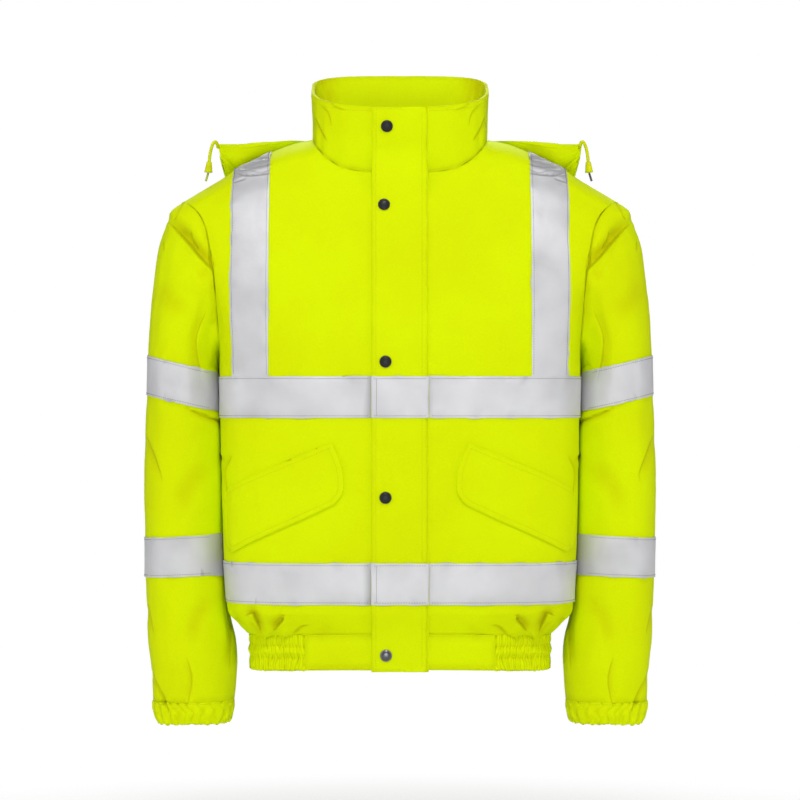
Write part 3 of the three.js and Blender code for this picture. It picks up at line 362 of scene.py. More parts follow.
    def plain(self, name, colour, roughness, specular=0.4, metallic=0.0, grain=600.0, depth=0.00008):
        """Moulded or metal trim, with a fine grain and worn edges."""
        if name in self.made:
            return self.made[name]
        material, w, shader, place = self.start(name, colour, roughness, specular, metallic)
        uneven = self.group(w, self.uneven, {"Vector": place, "Scale": 60.0, "Grain scale": grain})
        wear_and_shade = self.group(w, self.wear_and_shade, {"Strength": 0.5})
        shade = w.ramp(uneven.outputs["Shade"], 0.3, 0.7)
        darker = tuple(c * 0.8 for c in colour)
        lighter = tuple(min(1.0, c * 1.25 + 0.015) for c in colour)
        base = w.mix(shade, (*darker, 1.0), (*colour, 1.0))
        base = w.mix(wear_and_shade.outputs["Edge"], base, (*lighter, 1.0))
        w.tree.links.new(base, shader.inputs["Base Color"])
        rough = w.mix(uneven.outputs["Grain"], roughness * 0.8, min(1.0, roughness * 1.2), kind="FLOAT")
        w.tree.links.new(rough, shader.inputs["Roughness"])
        self.bump(w, shader, uneven.outputs["Grain"], 0.3, depth)
        return material

    def braid(self, name, colour):
        """Braided cord: crossing strands round its axis."""
        if name in self.made:
            return self.made[name]
        material, w, shader, place = self.start(name, colour, 0.7, specular=0.15)
        weave = self.group(w, self.weave, {"Vector": place, "Threads per metre": 900.0})
        darker = tuple(c * 0.7 for c in colour)
        base = w.mix(w.ramp(weave.outputs["Height"], -0.6, 0.4), (*darker, 1.0), (*colour, 1.0))
        w.tree.links.new(base, shader.inputs["Base Color"])
        self.bump(w, shader, weave.outputs["Height"], 0.6, 0.0004)
        return material


_finishes = []


def finishes():
    if not _finishes:
        _finishes.append(Finishes())
    return _finishes[0]


# Creases of the cloth as they show from the front, in millimetres from the origin: the points of each
# line, how wide its hollow is, how deep, and how far the cloth stands out on its other side. The hollow
# lies on the left of the line; where nothing stands out it lies on both sides. Both sides of the jacket
# have them.
CREASES = [
    ([(229, -165), (240, -153.7), (250, -143), (265, -125.7), (280, -109.5), (287, -103)], 18, 5.0, 2.0),
    ([(257, -116), (257, -124), (250, -136)], 8, 2.4, 0.8),
    ([(268, -76), (275, -92), (279, -99)], 8, 2.8, 0.8),
    ([(294, -126), (292, -137)], 6, 2.2, 0.6),
    ([(250, -172), (234, -162)], 12, 1.6, 0.0),
    ([(300, -176), (286, -200), (262, -214)], 20, 1.6, 0.0),
    ([(238, -214), (250, -250), (243, -300)], 15, 1.8, 0.5),
    ([(263, -332), (240, -342), (218, -352)], 9, 2.6, 1.0),
    ([(240, -386), (226, -389), (216, -395)], 8, 2.0, 0.6),
    ([(316, -366), (304, -390), (294, -416)], 16, 2.2, 0.5),
    ([(236, -400), (262, -430), (270, -462)], 18, 1.6, 0.0),
    ([(313, -576), (308, -596), (305, -610)], 10, 2.2, 0.5),
    ([(232, -566), (250, -590), (258, -622)], 14, 1.8, 0.0),
    ([(309, -658), (300, -673), (291, -690), (286, -708)], 8, 2.6, 1.0),
    ([(216, -574), (209, -604), (211, -655)], 9, 2.0, 0.6),
    ([(262, -640), (256, -668), (262, -700)], 10, 1.6, 0.4),
    ([(142.8, -583), (142.2, -590), (147.7, -597.4), (155, -605)], 13, 5.0, 1.6),
    ([(171, -606), (177.8, -590), (181, -584), (189, -586.5)], 11, 4.0, 1.4),
    ([(186, -593), (179.7, -599.3), (171, -609)], 6, 2.4, 0.0),
    ([(131, -608), (121, -598), (112, -596)], 8, 1.6, 0.4),
    ([(98, -610), (84, -597)], 9, 1.0, 0.0),
    ([(204, -590), (197, -600)], 6, 2.0, 0.0),
    ([(159, -44), (187, -46), (207, -43)], 6, 2.0, 0.7),
    ([(158, -32), (180, -36), (199, -37)], 5, 1.8, 0.6),
    ([(161, -25), (176, -25), (192, -28)], 5, 1.6, 0.5),
    ([(189, -50), (206, -55)], 5, 1.2, 0.3),
    ([(157, -38), (170, -42), (184, -40)], 4, 1.0, 0.3),
    ([(206, -392), (214, -410), (212, -436)], 9, 2.2, 0.6),
    ([(105, 28), (99, 13), (90, -3)], 9, 1.8, 0.5),
    ([(97, 40), (88, 30), (84, 14)], 9, 1.0, 0.3),
    ([(90, 48), (80, 38), (66, 32)], 8, 0.8, 0.2),
    ([(281, -83), (289, -98), (294, -112)], 14, -2.0, 0.0),
    ([(262, -80), (253, -87), (245, -97), (238, -113), (233, -138), (228, -168), (224, -250)], 9, 1.6, 0.5),
]
# Similar creases on the back, where the photograph doesn't reach.
BACK_CREASES = [
    ([(232, -178), (252, -152), (278, -124), (286, -112)], 18, 4.4, 2.0),
    ([(238, -214), (262, -190), (300, -168)], 16, 2.6, 0.8),
    ([(262, -340), (240, -352), (220, -356)], 10, 2.6, 0.8),
    ([(300, -424), (262, -446), (226, -440)], 15, 2.8, 0.8),
    ([(298, -482), (270, -494), (240, -492)], 12, 2.2, 0.6),
    ([(314, -590), (290, -612), (262, -616)], 13, 2.2, 0.6),
    ([(304, -656), (292, -682), (284, -706)], 9, 2.2, 0.6),
    ([(186, -236), (204, -280), (214, -336)], 18, 2.6, 0.6),
    ([(108, -582), (110, -594), (118, -607)], 14, 4.2, 1.4),
    ([(70, -607), (78, -592), (86, -584)], 13, 3.8, 1.4),
    ([(24, -584), (30, -596), (40, -608)], 13, 3.4, 1.2),
    ([(142.8, -583), (146, -594), (156, -606)], 13, 4.4, 1.4),
    ([(172, -606), (180, -592), (190, -586)], 11, 3.6, 1.2),
    ([(40, -350), (130, -392), (208, -386)], 26, 2.6, 0.6),
    ([(60, -470), (130, -446), (210, -470)], 26, 2.2, 0.4),
    ([(281, -83), (289, -98), (294, -112)], 14, -2.0, 0.0),
    ([(104, 28), (98, 13), (94, 0)], 10, 1.6, 0.4),
]


BACK_Y = 12  # the back's creases begin here, in millimetres
FRONT_STEP = 3.0  # width of the fold itself on the front, in millimetres
BACK_STEP = 12.0  # and on the back, where folds are soft
SEAM_SHADE = 0.2  # how much painted shade darkens the very edge of a cloth piece, against a fold's painted shadow line
FOLD_BANDS = (9.0, 4.0)  # from a fold, in millimetres: each halves the faces in it
# Lobes of cloth over the elastic: across, front or back, half width, and how far they sag and stand out
HEM_LOBES = (
    (166, -1, 15, 6.5, 5.5),
    (141, -1, 12, 4.2, 3.4),
    (188, -1, 9, 1.6, 1.6),
    (118, -1, 10, 1.5, 1.2),
    (166, 1, 14, 4.6, 4.0),
    (128, 1, 15, 4.0, 3.6),
    (92, 1, 14, 3.4, 3.0),
    (56, 1, 14, 3.6, 3.2),
    (16, 1, 14, 3.2, 3.0),
)


def curve_at(p, q, r, s, t):
    """The value at t of the way from q to r on a smooth curve that passes p before and s after."""
    bend = (2 * p - 5 * q + 4 * r - s) * t**2
    twist = (3 * q - p - 3 * r + s) * t**3
    return 0.5 * (2 * q + (r - p) * t + bend + twist)


def rounded(points):
    """A smooth run of points through the given ones."""
    if len(points) < 3:
        return points
    ends = [points[0], *points, points[-1]]
    run = []
    for before, a, b, after in zip(ends, ends[1:], ends[2:], ends[3:]):
        for t in np.arange(5) / 5:
            run.append(tuple(curve_at(*four, t) for four in zip(before, a, b, after)))
    return run + [points[-1]]


def crease_profile(x, z, points, width, depth, lip, step):
    """How far one crease pushes places in, and how much painted shadow line they get where it folds."""
    best = np.full(x.shape, np.inf)
    lengths = [math.dist(a, b) for a, b in zip(points, points[1:])]
    total = sum(lengths)
    run = 0.0
    share = np.zeros(x.shape)
    left = np.zeros(x.shape)
    for (ax, az), (bx, bz), length in zip(points, points[1:], lengths):
        t = np.clip(((x - ax) * (bx - ax) + (z - az) * (bz - az)) / length**2, 0, 1)
        gap = np.hypot(x - ax - t * (bx - ax), z - az - t * (bz - az))
        side = (bx - ax) * (z - az) - (bz - az) * (x - ax)
        nearer = gap < best
        best = np.where(nearer, gap, best)
        share = np.where(nearer, (run + t * length) / total, share)
        left = np.where(nearer, np.sign(side) * gap, left)
        run += length
    ends = np.minimum(share, 1 - share)
    fade = np.clip(ends * 3.4 + 0.08, 0, 1)
    inside = np.clip(1 - best / width, 0, 1)
    hollow = inside**2 * (3 - 2 * inside)
    if not lip:
        return depth * hollow * fade, np.zeros(x.shape)
    over = np.clip(1 - best / (width * 1.5), 0, 1) ** 2
    blend = np.clip(left / step + 0.5, 0, 1)
    blend = blend**2 * (3 - 2 * blend)
    # Painted shadow: a narrow dark line along where the cloth folds over
    sharp = np.clip(1 - np.abs(left - 0.3) / 1.3, 0, 1) * (step < BACK_STEP)
    line = sharp * min(depth / 3.2, 1.0) * np.clip(ends * 6 + 0.3, 0, 1)
    return (blend * depth * hollow - (1 - blend) * lip * over) * fade, line


def creases_near(places, margin):
    """Each crease that comes near some places, with which ones they are, and how far across and up."""
    mm = places / MM
    x, y, z = np.abs(mm[:, 0]), mm[:, 1], mm[:, 2]
    for lines, here, step in (
        (CREASES, y < BACK_Y, FRONT_STEP),
        (BACK_CREASES, y >= BACK_Y, BACK_STEP),
    ):
        for points, width, depth, lip in lines:
            reach = width * margin + 1
            across = [p[0] for p in points]
            up = [p[1] for p in points]
            beside = (x > min(across) - reach) & (x < max(across) + reach)
            level = (z > min(up) - reach) & (z < max(up) + reach)
            near = np.nonzero(here & beside & level)[0]
            if len(near):
                yield near, x[near], z[near], (rounded(points), width, depth, lip, step)


def by_a_fold(places, reach):
    """Whether places lie within reach of the sharp line of a stepped crease, in millimetres."""
    close = np.zeros(len(places), bool)
    for near, x, z, (points, _, _, lip, _) in creases_near(places, 1.5):
        if lip:
            for (ax, az), (bx, bz) in zip(points, points[1:]):
                square = (bx - ax) ** 2 + (bz - az) ** 2
                t = np.clip(((x - ax) * (bx - ax) + (z - az) * (bz - az)) / square, 0, 1)
                close[near] |= np.hypot(x - ax - t * (bx - ax), z - az - t * (bz - az)) < reach
    return close


def refined(mesh, node):
    """Makes the faces of the outer wall smaller along the sharp folds."""
    bm = bmesh.new()
    bm.from_mesh(mesh)
    for reach in FOLD_BANDS:
        places = np.array([v.co for v in bm.verts])
        facing = np.array([v.normal for v in bm.verts])
        near = by_a_fold(places, reach) & (np.sum(facing * outwards(places, node), axis=1) > 0)
        edges = [edge for edge in bm.edges if near[edge.verts[0].index] and near[edge.verts[1].index]]
        if edges:
            bmesh.ops.subdivide_edges(bm, edges=edges, cuts=1, use_grid_fill=True)
        bm.verts.index_update()
        bm.normal_update()
    bm.to_mesh(mesh)
    bm.free()


def creased(places):
    """How far the cloth is pushed in at each place, in metres, and how much painted shadow line of a fold
    is there.
    """
    push = np.zeros(len(places))
    line = np.zeros(len(places))
    for near, x, z, crease in creases_near(places, 1.5):
        hollow, fold = crease_profile(x, z, *crease)
        push[near] += hollow
        line[near] = np.maximum(line[near], fold)
    return push * MM * sizes().crease, line


def overhung(places):
    """How far the body's cloth sags over the elastic in lobes at the hem, as movements."""
    mm = places / MM
    moved = np.zeros_like(places)
    for x, y_sign, reach, down, out in HEM_LOBES:
        here = (np.sign(mm[:, 1]) == y_sign) & (mm[:, 2] < -575)
        gap = np.hypot((np.abs(mm[:, 0]) - x) / reach, (mm[:, 2] + 608) / 14)
        share = here * np.clip(1 - gap, 0, 1) ** 2
        moved[:, 2] -= share * down * MM
        moved[:, 1] += share * out * MM * y_sign
    return moved


def puckered(places, scale, seed):
    """Uneven height of the cloth, in metres, from smooth noise of that many bumps a metre."""
    shift = Vector((seed, 2 * seed, 3 * seed))
    return np.array([noise.noise(Vector(p) * scale + shift) for p in places])


def spine_of(name):
    """The line inside a piece that its outer face looks away from, in metres."""
    side = -1 if "right" in name else 1
    if "sleeve" in name or "cuff" in name:
        return [(0.262 * side, 0.006, -0.14), (0.269 * side, 0.018, -0.4), (0.256 * side, -0.01, -0.73)]
    if name == "hood":
        return [(0.0, 0.135, -0.22), (0.0, 0.12, -0.1)]
    return [(0.0, 0.0, -0.62), (0.0, 0.0, -0.14)]


def outwards(places, name):
    """A rough outward direction of a piece at each place."""
    if name in ("collar", "storm_flap") or name.startswith("snap"):
        return places * np.array([1.0, 1.0, 0.0])
    spine = [np.array(p) for p in spine_of(name)]
    best = np.full(len(places), np.inf)
    away = np.zeros_like(places)
    for a, b in zip(spine, spine[1:]):
        t = np.clip((places - a) @ (b - a) / np.dot(b - a, b - a), 0, 1)[:, None]
        offset = places - (a + t * (b - a))
        if "sleeve" not in name and "cuff" not in name and name != "hood":
            reach = 0.15
            offset[:, 0] -= np.clip(offset[:, 0], -reach, reach)
        gap = np.linalg.norm(offset, axis=1)
        nearer = gap < best
        best = np.where(nearer, gap, best)
        away = np.where(nearer[:, None], offset, away)
    return away


def quads_of(node):
    """A closed mesh of a node's solid with its triangles paired into the cells of its grid."""
    bm = bmesh.new()
    bm.from_mesh(NODES[node].data)
    bmesh.ops.remove_doubles(bm, verts=bm.verts, dist=1e-6)
    diagonals = []
    taken = set()
    for edge in sorted(bm.edges, key=lambda e: -e.calc_length()):
        faces = edge.link_faces
        if len(faces) != 2 or faces[0] in taken or faces[1] in taken:
            continue
        longest = all(edge.calc_length() >= max(e.calc_length() for e in f.edges) - 1e-7 for f in faces)
        if longest and faces[0].normal.angle(faces[1].normal, 0) < math.radians(50):
            diagonals.append(edge)
            taken.update(faces)
    bmesh.ops.dissolve_edges(bm, edges=diagonals, use_verts=False)
    return bm


def subdivided(bm, levels, sharp_angle):
    """A mesh of smooth faces through every vertex of bm, whose sharp edges stay sharp."""
    layer = bm.edges.layers.float.new("crease_edge")
    for edge in bm.edges:
        if len(edge.link_faces) == 2 and edge.calc_face_angle(0) > math.radians(sharp_angle):
            edge[layer] = 1.0
    mesh = bpy.data.meshes.new("control")
    bm.to_mesh(mesh)
    bm.free()
    target = coordinates(mesh)
    control = target.copy()
    obj = bpy.data.objects.new("control", mesh)
    bpy.context.scene.collection.objects.link(obj)
    modifier = obj.modifiers.new("Subdivision", "SUBSURF")
    modifier.levels = modifier.render_levels = 2
    for step in range(5):
        if step == 4:
            modifier.levels = modifier.render_levels = levels
        fine = evaluated(obj)
        if step < 4:
            control += target - coordinates(fine)[: len(target)]
            mesh.vertices.foreach_set("co", control.ravel())
            mesh.update()
            bpy.data.meshes.remove(fine)
    bpy.data.objects.remove(obj)
    bpy.data.meshes.remove(mesh)
    return fine


def coordinates(mesh):
    co = np.empty(len(mesh.vertices) * 3)
    mesh.vertices.foreach_get("co", co)
    return co.reshape(-1, 3)


def normals(mesh):
    out = np.empty(len(mesh.vertices) * 3)
    mesh.vertices.foreach_get("normal", out)
    return out.reshape(-1, 3)


def evaluated(obj):
    """A new mesh of an object with its modifiers applied."""
    bpy.context.view_layer.update()
    depsgraph = bpy.context.evaluated_depsgraph_get()
    return bpy.data.meshes.new_from_object(obj.evaluated_get(depsgraph), depsgraph=depsgraph)


def placed(name, mesh, material, slot, *replaced):
    """A piece of the jacket, riding on its body, in place of the nodes named."""
    obj = bpy.data.objects.new(name, mesh)
    bpy.context.scene.collection.objects.link(obj)
    mesh.materials.clear()
    mesh.materials.append(material)
    mesh.shade_smooth()
    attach(obj, "root")
    if replaced:
        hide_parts(*replaced)
    return obj


ELASTIC_REACH = 174  # of the waistband's elastic to each side, in millimetres


def gathered(places, node):
    """Height of the narrow upright gathers of an elastic edge, in metres."""
    mm = places / MM
    x, y, z = np.abs(mm[:, 0]), mm[:, 1], mm[:, 2]
    if "cuff" in node:
        along = np.arctan2(y + 8, x - 257) * 36 * 0.5
    else:
        along = np.where(y < 0, x + y, 2 * ELASTIC_REACH - x + y)
    drift = np.array([noise.noise(Vector((a * 0.06, h * 0.07, 7.7))) for a, h in zip(along, z)])
    rise = np.array([noise.noise(Vector((a * 0.16, h * 0.12, 3.1))) for a, h in zip(along, z)])
    wave = np.abs(np.sin(np.pi * (along / 4.8 + drift * 1.1)))
    return ((wave**0.8 - 0.6) * (0.85 + rise * 0.6) + rise * 0.5) * 0.0014


def squared_in(places, node):
    """Movements that square the inner front of a sleeve, so that it lies against the body."""
    side = "left" if "left" in node else "right"
    mm = places / MM
    x, y, z = np.abs(mm[:, 0]), mm[:, 1], mm[:, 2]
    levels, middle, front, gap = sleeve_levels(side)
    middle = np.interp(z, levels, middle)
    front = np.interp(z, levels, front)
    gap = np.interp(z, levels, gap)
    reach = np.maximum(middle - front, 1.0)
    along = np.clip((middle - y) / reach, 0, 1)
    inner = np.clip((268 - x) / 20, 0, 1)
    level = np.clip((-258 - z) / 50, 0, 1) * np.clip((z + 655) / 70, 0, 1)
    moved = np.zeros_like(places)
    forward = (along**0.18 - along) * reach * inner * level
    moved[:, 1] = -forward * MM
    beside = np.clip((246 - x) / 16, 0, 1) * np.clip((-6 - y + forward) / 26, 0, 1)
    beside *= level * np.clip((z + 590) / 60, 0, 1)
    moved[:, 0] = -np.sign(mm[:, 0]) * (gap + 0.9) * beside * MM
    return moved


_levels = {}


def sleeve_levels(side):
    """Heights down a sleeve, with where its inmost place and its front lie, and its gap to the body."""
    if side not in _levels:
        places = coordinates(NODES[f"sleeve_{side}"].data) / MM
        x, y, z = np.abs(places[:, 0]), places[:, 1], places[:, 2]
        levels = np.arange(-680, -260, 20)
        rows = [np.argsort(np.abs(z - level))[:36] for level in levels]
        middle = [y[row][x[row] < x[row].min() + 2.5].mean() for row in rows]
        front = [y[row].min() for row in rows]
        body = coordinates(NODES[f"front_{side}"].data) / MM
        widest = [np.abs(body[np.argsort(np.abs(body[:, 2] - level))[:36], 0]).max() for level in levels]
        gap = [max(x[row].min() - edge, 0.0) for row, edge in zip(rows, widest)]
        even = [np.polyval(np.polyfit(levels, values, 3), levels) for values in (middle, front)]
        gap = np.polyval(np.polyfit(levels[7:], gap[7:], 2), levels)
        _levels[side] = (levels, *even, np.clip(gap, 0, 3.5))
    return _levels[side]


def upright(places):
    """Movements that straighten the sides of the hood where they show over the shoulders."""
    mm = places / MM
    x, y, z = np.abs(mm[:, 0]), mm[:, 1], mm[:, 2]
    moved = np.zeros_like(places)
    straight = np.interp(y, (42, 54, 67, 80, 92, 100), (42, 45, 55, 74, 91, 100))
    moved[:, 1] = (straight - y) * np.clip((x - 105) / 35, 0, 1) * (y > 42) * MM
    edge = 229.5 - np.clip(2 - z, 0, 60) * 0.21
    over = np.maximum(x - edge, 0)
    pulled = (2 * (1 - np.exp(-over / 2)) - over) * (y < 75)
    moved[:, 0] = pulled * np.sign(mm[:, 0]) * MM
    return moved


def channelled(places):
    """Height of an elastic waistband, which swells between its two rows of stitches, in metres."""
    z = places[:, 2] / MM
    edges = (-612.0, -623.6, -638.1, -656.0)
    swell = np.full(len(places), -1.0)
    for low, high in zip(edges[1:], edges):
        t = np.clip((z - low) / (high - low), 0, 1)
        swell = np.maximum(swell, np.where((z >= low) & (z <= high), np.sin(np.pi * t) * 2 - 1, -1))
    return swell * 0.0006


def edge_puckered(places, node, strength):
    """Small slanting puckers along the sewn edges of a tape, in metres."""
    lines = [Vector(p) for side in chosen(outline_sides(node), "long") for p in dense(side)]
    tree = KDTree(len(lines))
    for i, p in enumerate(lines):
        tree.insert(p, i)
    tree.balance()
    height = np.zeros(len(places))
    for i, p in enumerate(places):
        gap = tree.find(p)[2]
        if gap < 0.016:
            spot = Vector((p[0] * 62 + p[2] * 30, p[1] * 62, p[2] * 62 - p[0] * 30))
            height[i] = max(noise.noise(spot), 0.0) * strength * (1 - gap / 0.016)
    return height


def dense(side):
    return resampled(side, max(2, round(run_length(side) / 0.004)))


PUCKER_SCALE = 26.0  # bumps in each metre of cloth
TAPE_PUCKER = 0.0026  # height of the puckers along a tape's stitches, in metres
COLLAR_PUCKER = 0.0007
FLAP_SEWN_X = (0.026, 0.0085)  # where the storm flap starts to sink to its sewn edge, and over what
FLAP_SUNK = (0.0018, 0.0003)  # how far its outer and its inner face sink there
DEEP_HOLLOW = 0.0035  # depth from which a hollow's painted shade is at its darkest, in metres
# Heights where the storm flap's edge gets a painted shadow line beside a tape, in millimetres
TAPE_LEVELS = ((-341, -299), (-568, -526))


def painted_shadow_lines(node, before, places, rim_moves, line):
    """How much painted shadow line each place has, with painted shade at the seams added to the folds'
    lines.
    """
    x, z = places[:, 0] / MM, places[:, 2] / MM
    on_rim = np.linalg.norm(rim_moves, axis=1) > 0
    # Painted shadow line on a tape where the storm flap's free edge lies over it
    if node in ("chest_tape_right", "hem_tape_right"):
        flap_shadow = np.clip((before[:, 0] / MM + 36.6) / 1.6, 0, 1)
        line = np.maximum(line, flap_shadow * (before[:, 1] < 0))
    # Painted shade along the rims of the cloth pieces, at their seams
    if "tape" not in node and node != "hood":
        seam = on_rim & ((node != "storm_flap") | (x < 0))
        line = np.maximum(line, seam * SEAM_SHADE * (0.4 if "pocket" in node else 1.0))
    # Painted shadow line on the storm flap's rim beside the tapes
    if node == "storm_flap":
        beside_tape = np.any([(z > low) & (z < high) for low, high in TAPE_LEVELS], axis=0)
        line = np.maximum(line, on_rim * beside_tape * 0.9)
    return line


def shaded(node, before, places, facing, hollow, gathers, puckers):
    """How much painted shade each place gets from folds, gathers, puckers, tape streaks, a sleeve tape's
    inner edge and the collar's ends.
    """
    # Painted shade between the gathers of the elastic and the cuffs
    between = np.clip(-gathers / 0.0007, 0, 1) * (0.4 if "cuff" in node else 0.8)
    shade = np.maximum(np.clip(hollow / DEEP_HOLLOW, 0, 1), between)
    # Painted shade of wrinkles on a tape: slanting streaks, and darker where it puckers at its edges
    if "tape" in node:
        slanted = [(p[0] * 20 + p[2] * 15, p[1] * 16, p[2] * 20 - p[0] * 9) for p in before]
        wrinkle_shade = np.array([noise.noise(Vector(p)) for p in slanted])
        shade = np.maximum(shade, np.clip(wrinkle_shade - 0.05, 0, 1) * 0.7 + puckers / TAPE_PUCKER * 0.7)
    # Painted shade on the inner edge of a sleeve tape's front
    if "sleeve_tape" in node:
        inner = np.clip((244 - np.abs(before[:, 0] / MM)) / 14, 0, 1)
        shade = np.maximum(shade, inner * (before[:, 1] < 0.02))
    # Painted shade in streaks inside the collar's ends
    if node == "collar":
        collar_shade_streaks = np.array([noise.noise(Vector((p[0] * 160, p[1] * 160, p[2] * 12))) for p in places])
        ends = np.clip((np.abs(places[:, 0] / MM) - 74) / 20, 0, 1) * (facing[:, 0] < 0)
        shade = np.maximum(shade, ends * np.clip(0.7 + collar_shade_streaks, 0, 1))
    return shade


def bevelled(mesh, width):
    """The mesh with its sharp edges rounded."""
    obj = bpy.data.objects.new("rim", mesh)
    bpy.context.scene.collection.objects.link(obj)
    bevel = obj.modifiers.new("Bevel", "BEVEL")
    bevel.width = width
    bevel.segments = 2
    bevel.limit_method = "ANGLE"
    bevel.angle_limit = math.radians(50)
    made = evaluated(obj)
    bpy.data.objects.remove(obj)
    bpy.data.meshes.remove(mesh)
    return made


def soft(node, levels=2, sharp_angle=60, pucker=1.0, rim=0.0006, spread=0.00013):
    """A node's cloth as a fine wall on its solid's form, creased, puckered and with rounded edges."""
    mesh = subdivided(quads_of(node), levels, sharp_angle)
    refined(mesh, node)
    places = coordinates(mesh)
    normal = normals(mesh)
    facing = np.sign(np.sum(normal * outwards(places, node), axis=1))[:, None]
    hollow, line = creased(places)
    push = -hollow
    height = puckered(places, PUCKER_SCALE, 1.7) * 0.65 + puckered(places, PUCKER_SCALE * 2.7, 5.1) * 0.35
    push += height * sizes().pucker * pucker
    gathers = np.zeros(len(places))
    puckers = np.zeros(len(places))
    if "elastic" in node or "cuff" in node:
        gathers = gathered(places, node)
        push += gathers
    if "elastic" in node:
        push += channelled(places)
    if "tape" in node:
        puckers = edge_puckered(places, node, TAPE_PUCKER)
        push += puckers
    if node == "collar":
        push += edge_puckered(places, node, COLLAR_PUCKER)
    if node == "storm_flap":
        sewn_edge = np.clip((places[:, 0] - FLAP_SEWN_X[0]) / FLAP_SEWN_X[1], 0, 1)
        push -= np.where(facing[:, 0] > 0, *FLAP_SUNK) * sewn_edge
    rim_moves = seam_spread(mesh, node, spread)
    moved = normal * facing * push[:, None] + rim_moves
    if node in ("back", "front_right", "front_left"):
        moved += overhung(places)
    if "sleeve" in node:
        moved += squared_in(places, node)
    if node == "hood":
        moved += upright(places)
    before = places.copy()
    places += moved
    mesh.vertices.foreach_set("co", places.ravel())
    mesh.update()
    line = painted_shadow_lines(node, before, places, rim_moves, line)
    shade = shaded(node, before, places, facing, hollow, gathers, puckers)
    # The painted shade goes into the fold attribute, and the painted shadow lines into the line attribute
    for name, values in (("fold", shade), ("line", line)):
        mesh.attributes.new(name, "FLOAT", "POINT").data.foreach_set("value", values)
    return bevelled(mesh, rim) if rim else mesh


def seam_spread(mesh, node, spread):
    """How far each vertex of a wall's rim moves, to close half the gap to the piece next to it."""
    centres = np.array([face.center for face in mesh.polygons])
    facing = np.array([face.normal for face in mesh.polygons])
    away = outwards(centres, node)
    away /= np.maximum(np.linalg.norm(away, axis=1), 1e-9)[:, None]
    rim = np.abs(np.sum(facing * away, axis=1)) < 0.45
    moved = np.zeros((len(mesh.vertices), 3))
    for face in np.nonzero(rim)[0]:
        for vertex in mesh.polygons[face].vertices:
            moved[vertex] += facing[face]
    size = np.linalg.norm(moved, axis=1)[:, None]
    return np.where(size > 0, moved / np.maximum(size, 1e-9), 0.0) * spread


def outline_sides(node):
    """The sides of a piece's outer face: each a run of places, with the piece on its left."""
    bm = quads_of(node)
    bm.faces.ensure_lookup_table()
    centres = np.array([face.calc_center_median() for face in bm.faces])
    away = outwards(centres, node)
    away /= np.maximum(np.linalg.norm(away, axis=1), 1e-9)[:, None]
    facing = np.array([face.normal for face in bm.faces])
    outer = np.sum(facing * away, axis=1) > 0.45
    following = {}
    for face in bm.faces:
        if not outer[face.index]:
            continue
        for loop in face.loops:
            if not all(outer[other.index] for other in loop.edge.link_faces):
                following[loop.vert] = loop.link_loop_next.vert
    sides = []
    while following:
        first = vertex = next(iter(following))
        ring = [vertex]
        while vertex in following:
            vertex = following.pop(vertex)
            ring.append(vertex)
        closed = ring[0] is ring[-1]
        points = [np.array(v.co) for v in (ring[:-1] if closed else ring)]
        sides += split_at_corners(points, closed)
    bm.free()
    return [side for side in sides if len(side) > 1]


def split_at_corners(points, closed):
    count = len(points)
    corners = []
    for i in range(count):
        if not closed and i in (0, count - 1):
            continue
        before = points[i] - points[i - 1]
        after = points[(i + 1) % count] - points[i]
        if Vector(before).angle(Vector(after), 0) > math.radians(CORNER_ANGLE):
            corners.append(i)
    if not closed:
        cuts = [0, *corners, count - 1]
        return [points[a : b + 1] for a, b in zip(cuts, cuts[1:])]
    if not corners:
        return [points + points[:1]]
    turned = points[corners[0] :] + points[: corners[0]] + [points[corners[0]]]
    cuts = [c - corners[0] for c in corners] + [count]
    return [turned[a : b + 1] for a, b in zip(cuts, cuts[1:])]


def run_length(points):
    return sum(float(np.linalg.norm(b - a)) for a, b in zip(points, points[1:]))


def chosen(sides, which):
    """The sides of an outline that a row of stitches follows."""

    def middle(side, axis):
        return float(np.mean([p[axis] for p in side]))

    if which == "long":
        return sorted(sides, key=run_length)[-2:]
    if which == "all":
        return sides
    axis, end = {"top": (2, 1), "bottom": (2, -1), "left": (0, -1), "right": (0, 1)}[which]
    return [max(sides, key=lambda side: end * middle(side, axis))]


def stitch_runs(node, mesh, which, inset):
    """Runs of places on a dressed piece, at a distance in from sides of its outer face."""
    surface = BVHTree.FromPolygons(
        [v.co for v in mesh.vertices], [tuple(face.vertices) for face in mesh.polygons]
    )
    runs = []
    for side in chosen(outline_sides(node), which):
        total = run_length(side)
        count = max(2, round(total / 0.004))
        places = resampled(side, count)
        run = []
        for i, place in enumerate(places):
            along = Vector(places[min(i + 1, count)] - places[max(i - 1, 0)]).normalized()
            away = Vector(outwards(place[None], node)[0]).normalized()
            inward = away.cross(along).normalized()
            if min(i, count - i) * total / count < inset * 0.6:
                continue
            spot, normal, _, _ = surface.find_nearest(Vector(place) + inward * inset + away * 0.002)
            if normal.dot(away) > 0:
                run.append(spot + normal * STITCH_LIFT)
        if len(run) > 2:
            runs.append(run)
    return runs


def resampled(points, count):
    """Evenly spaced places along a run, count + 1 of them."""
    steps = [0.0]
    for a, b in zip(points, points[1:]):
        steps.append(steps[-1] + float(np.linalg.norm(b - a)))
    at = np.linspace(0, steps[-1], count + 1)
    columns = [np.interp(at, steps, [p[axis] for p in points]) for axis in range(3)]
    return np.stack(columns, axis=1)


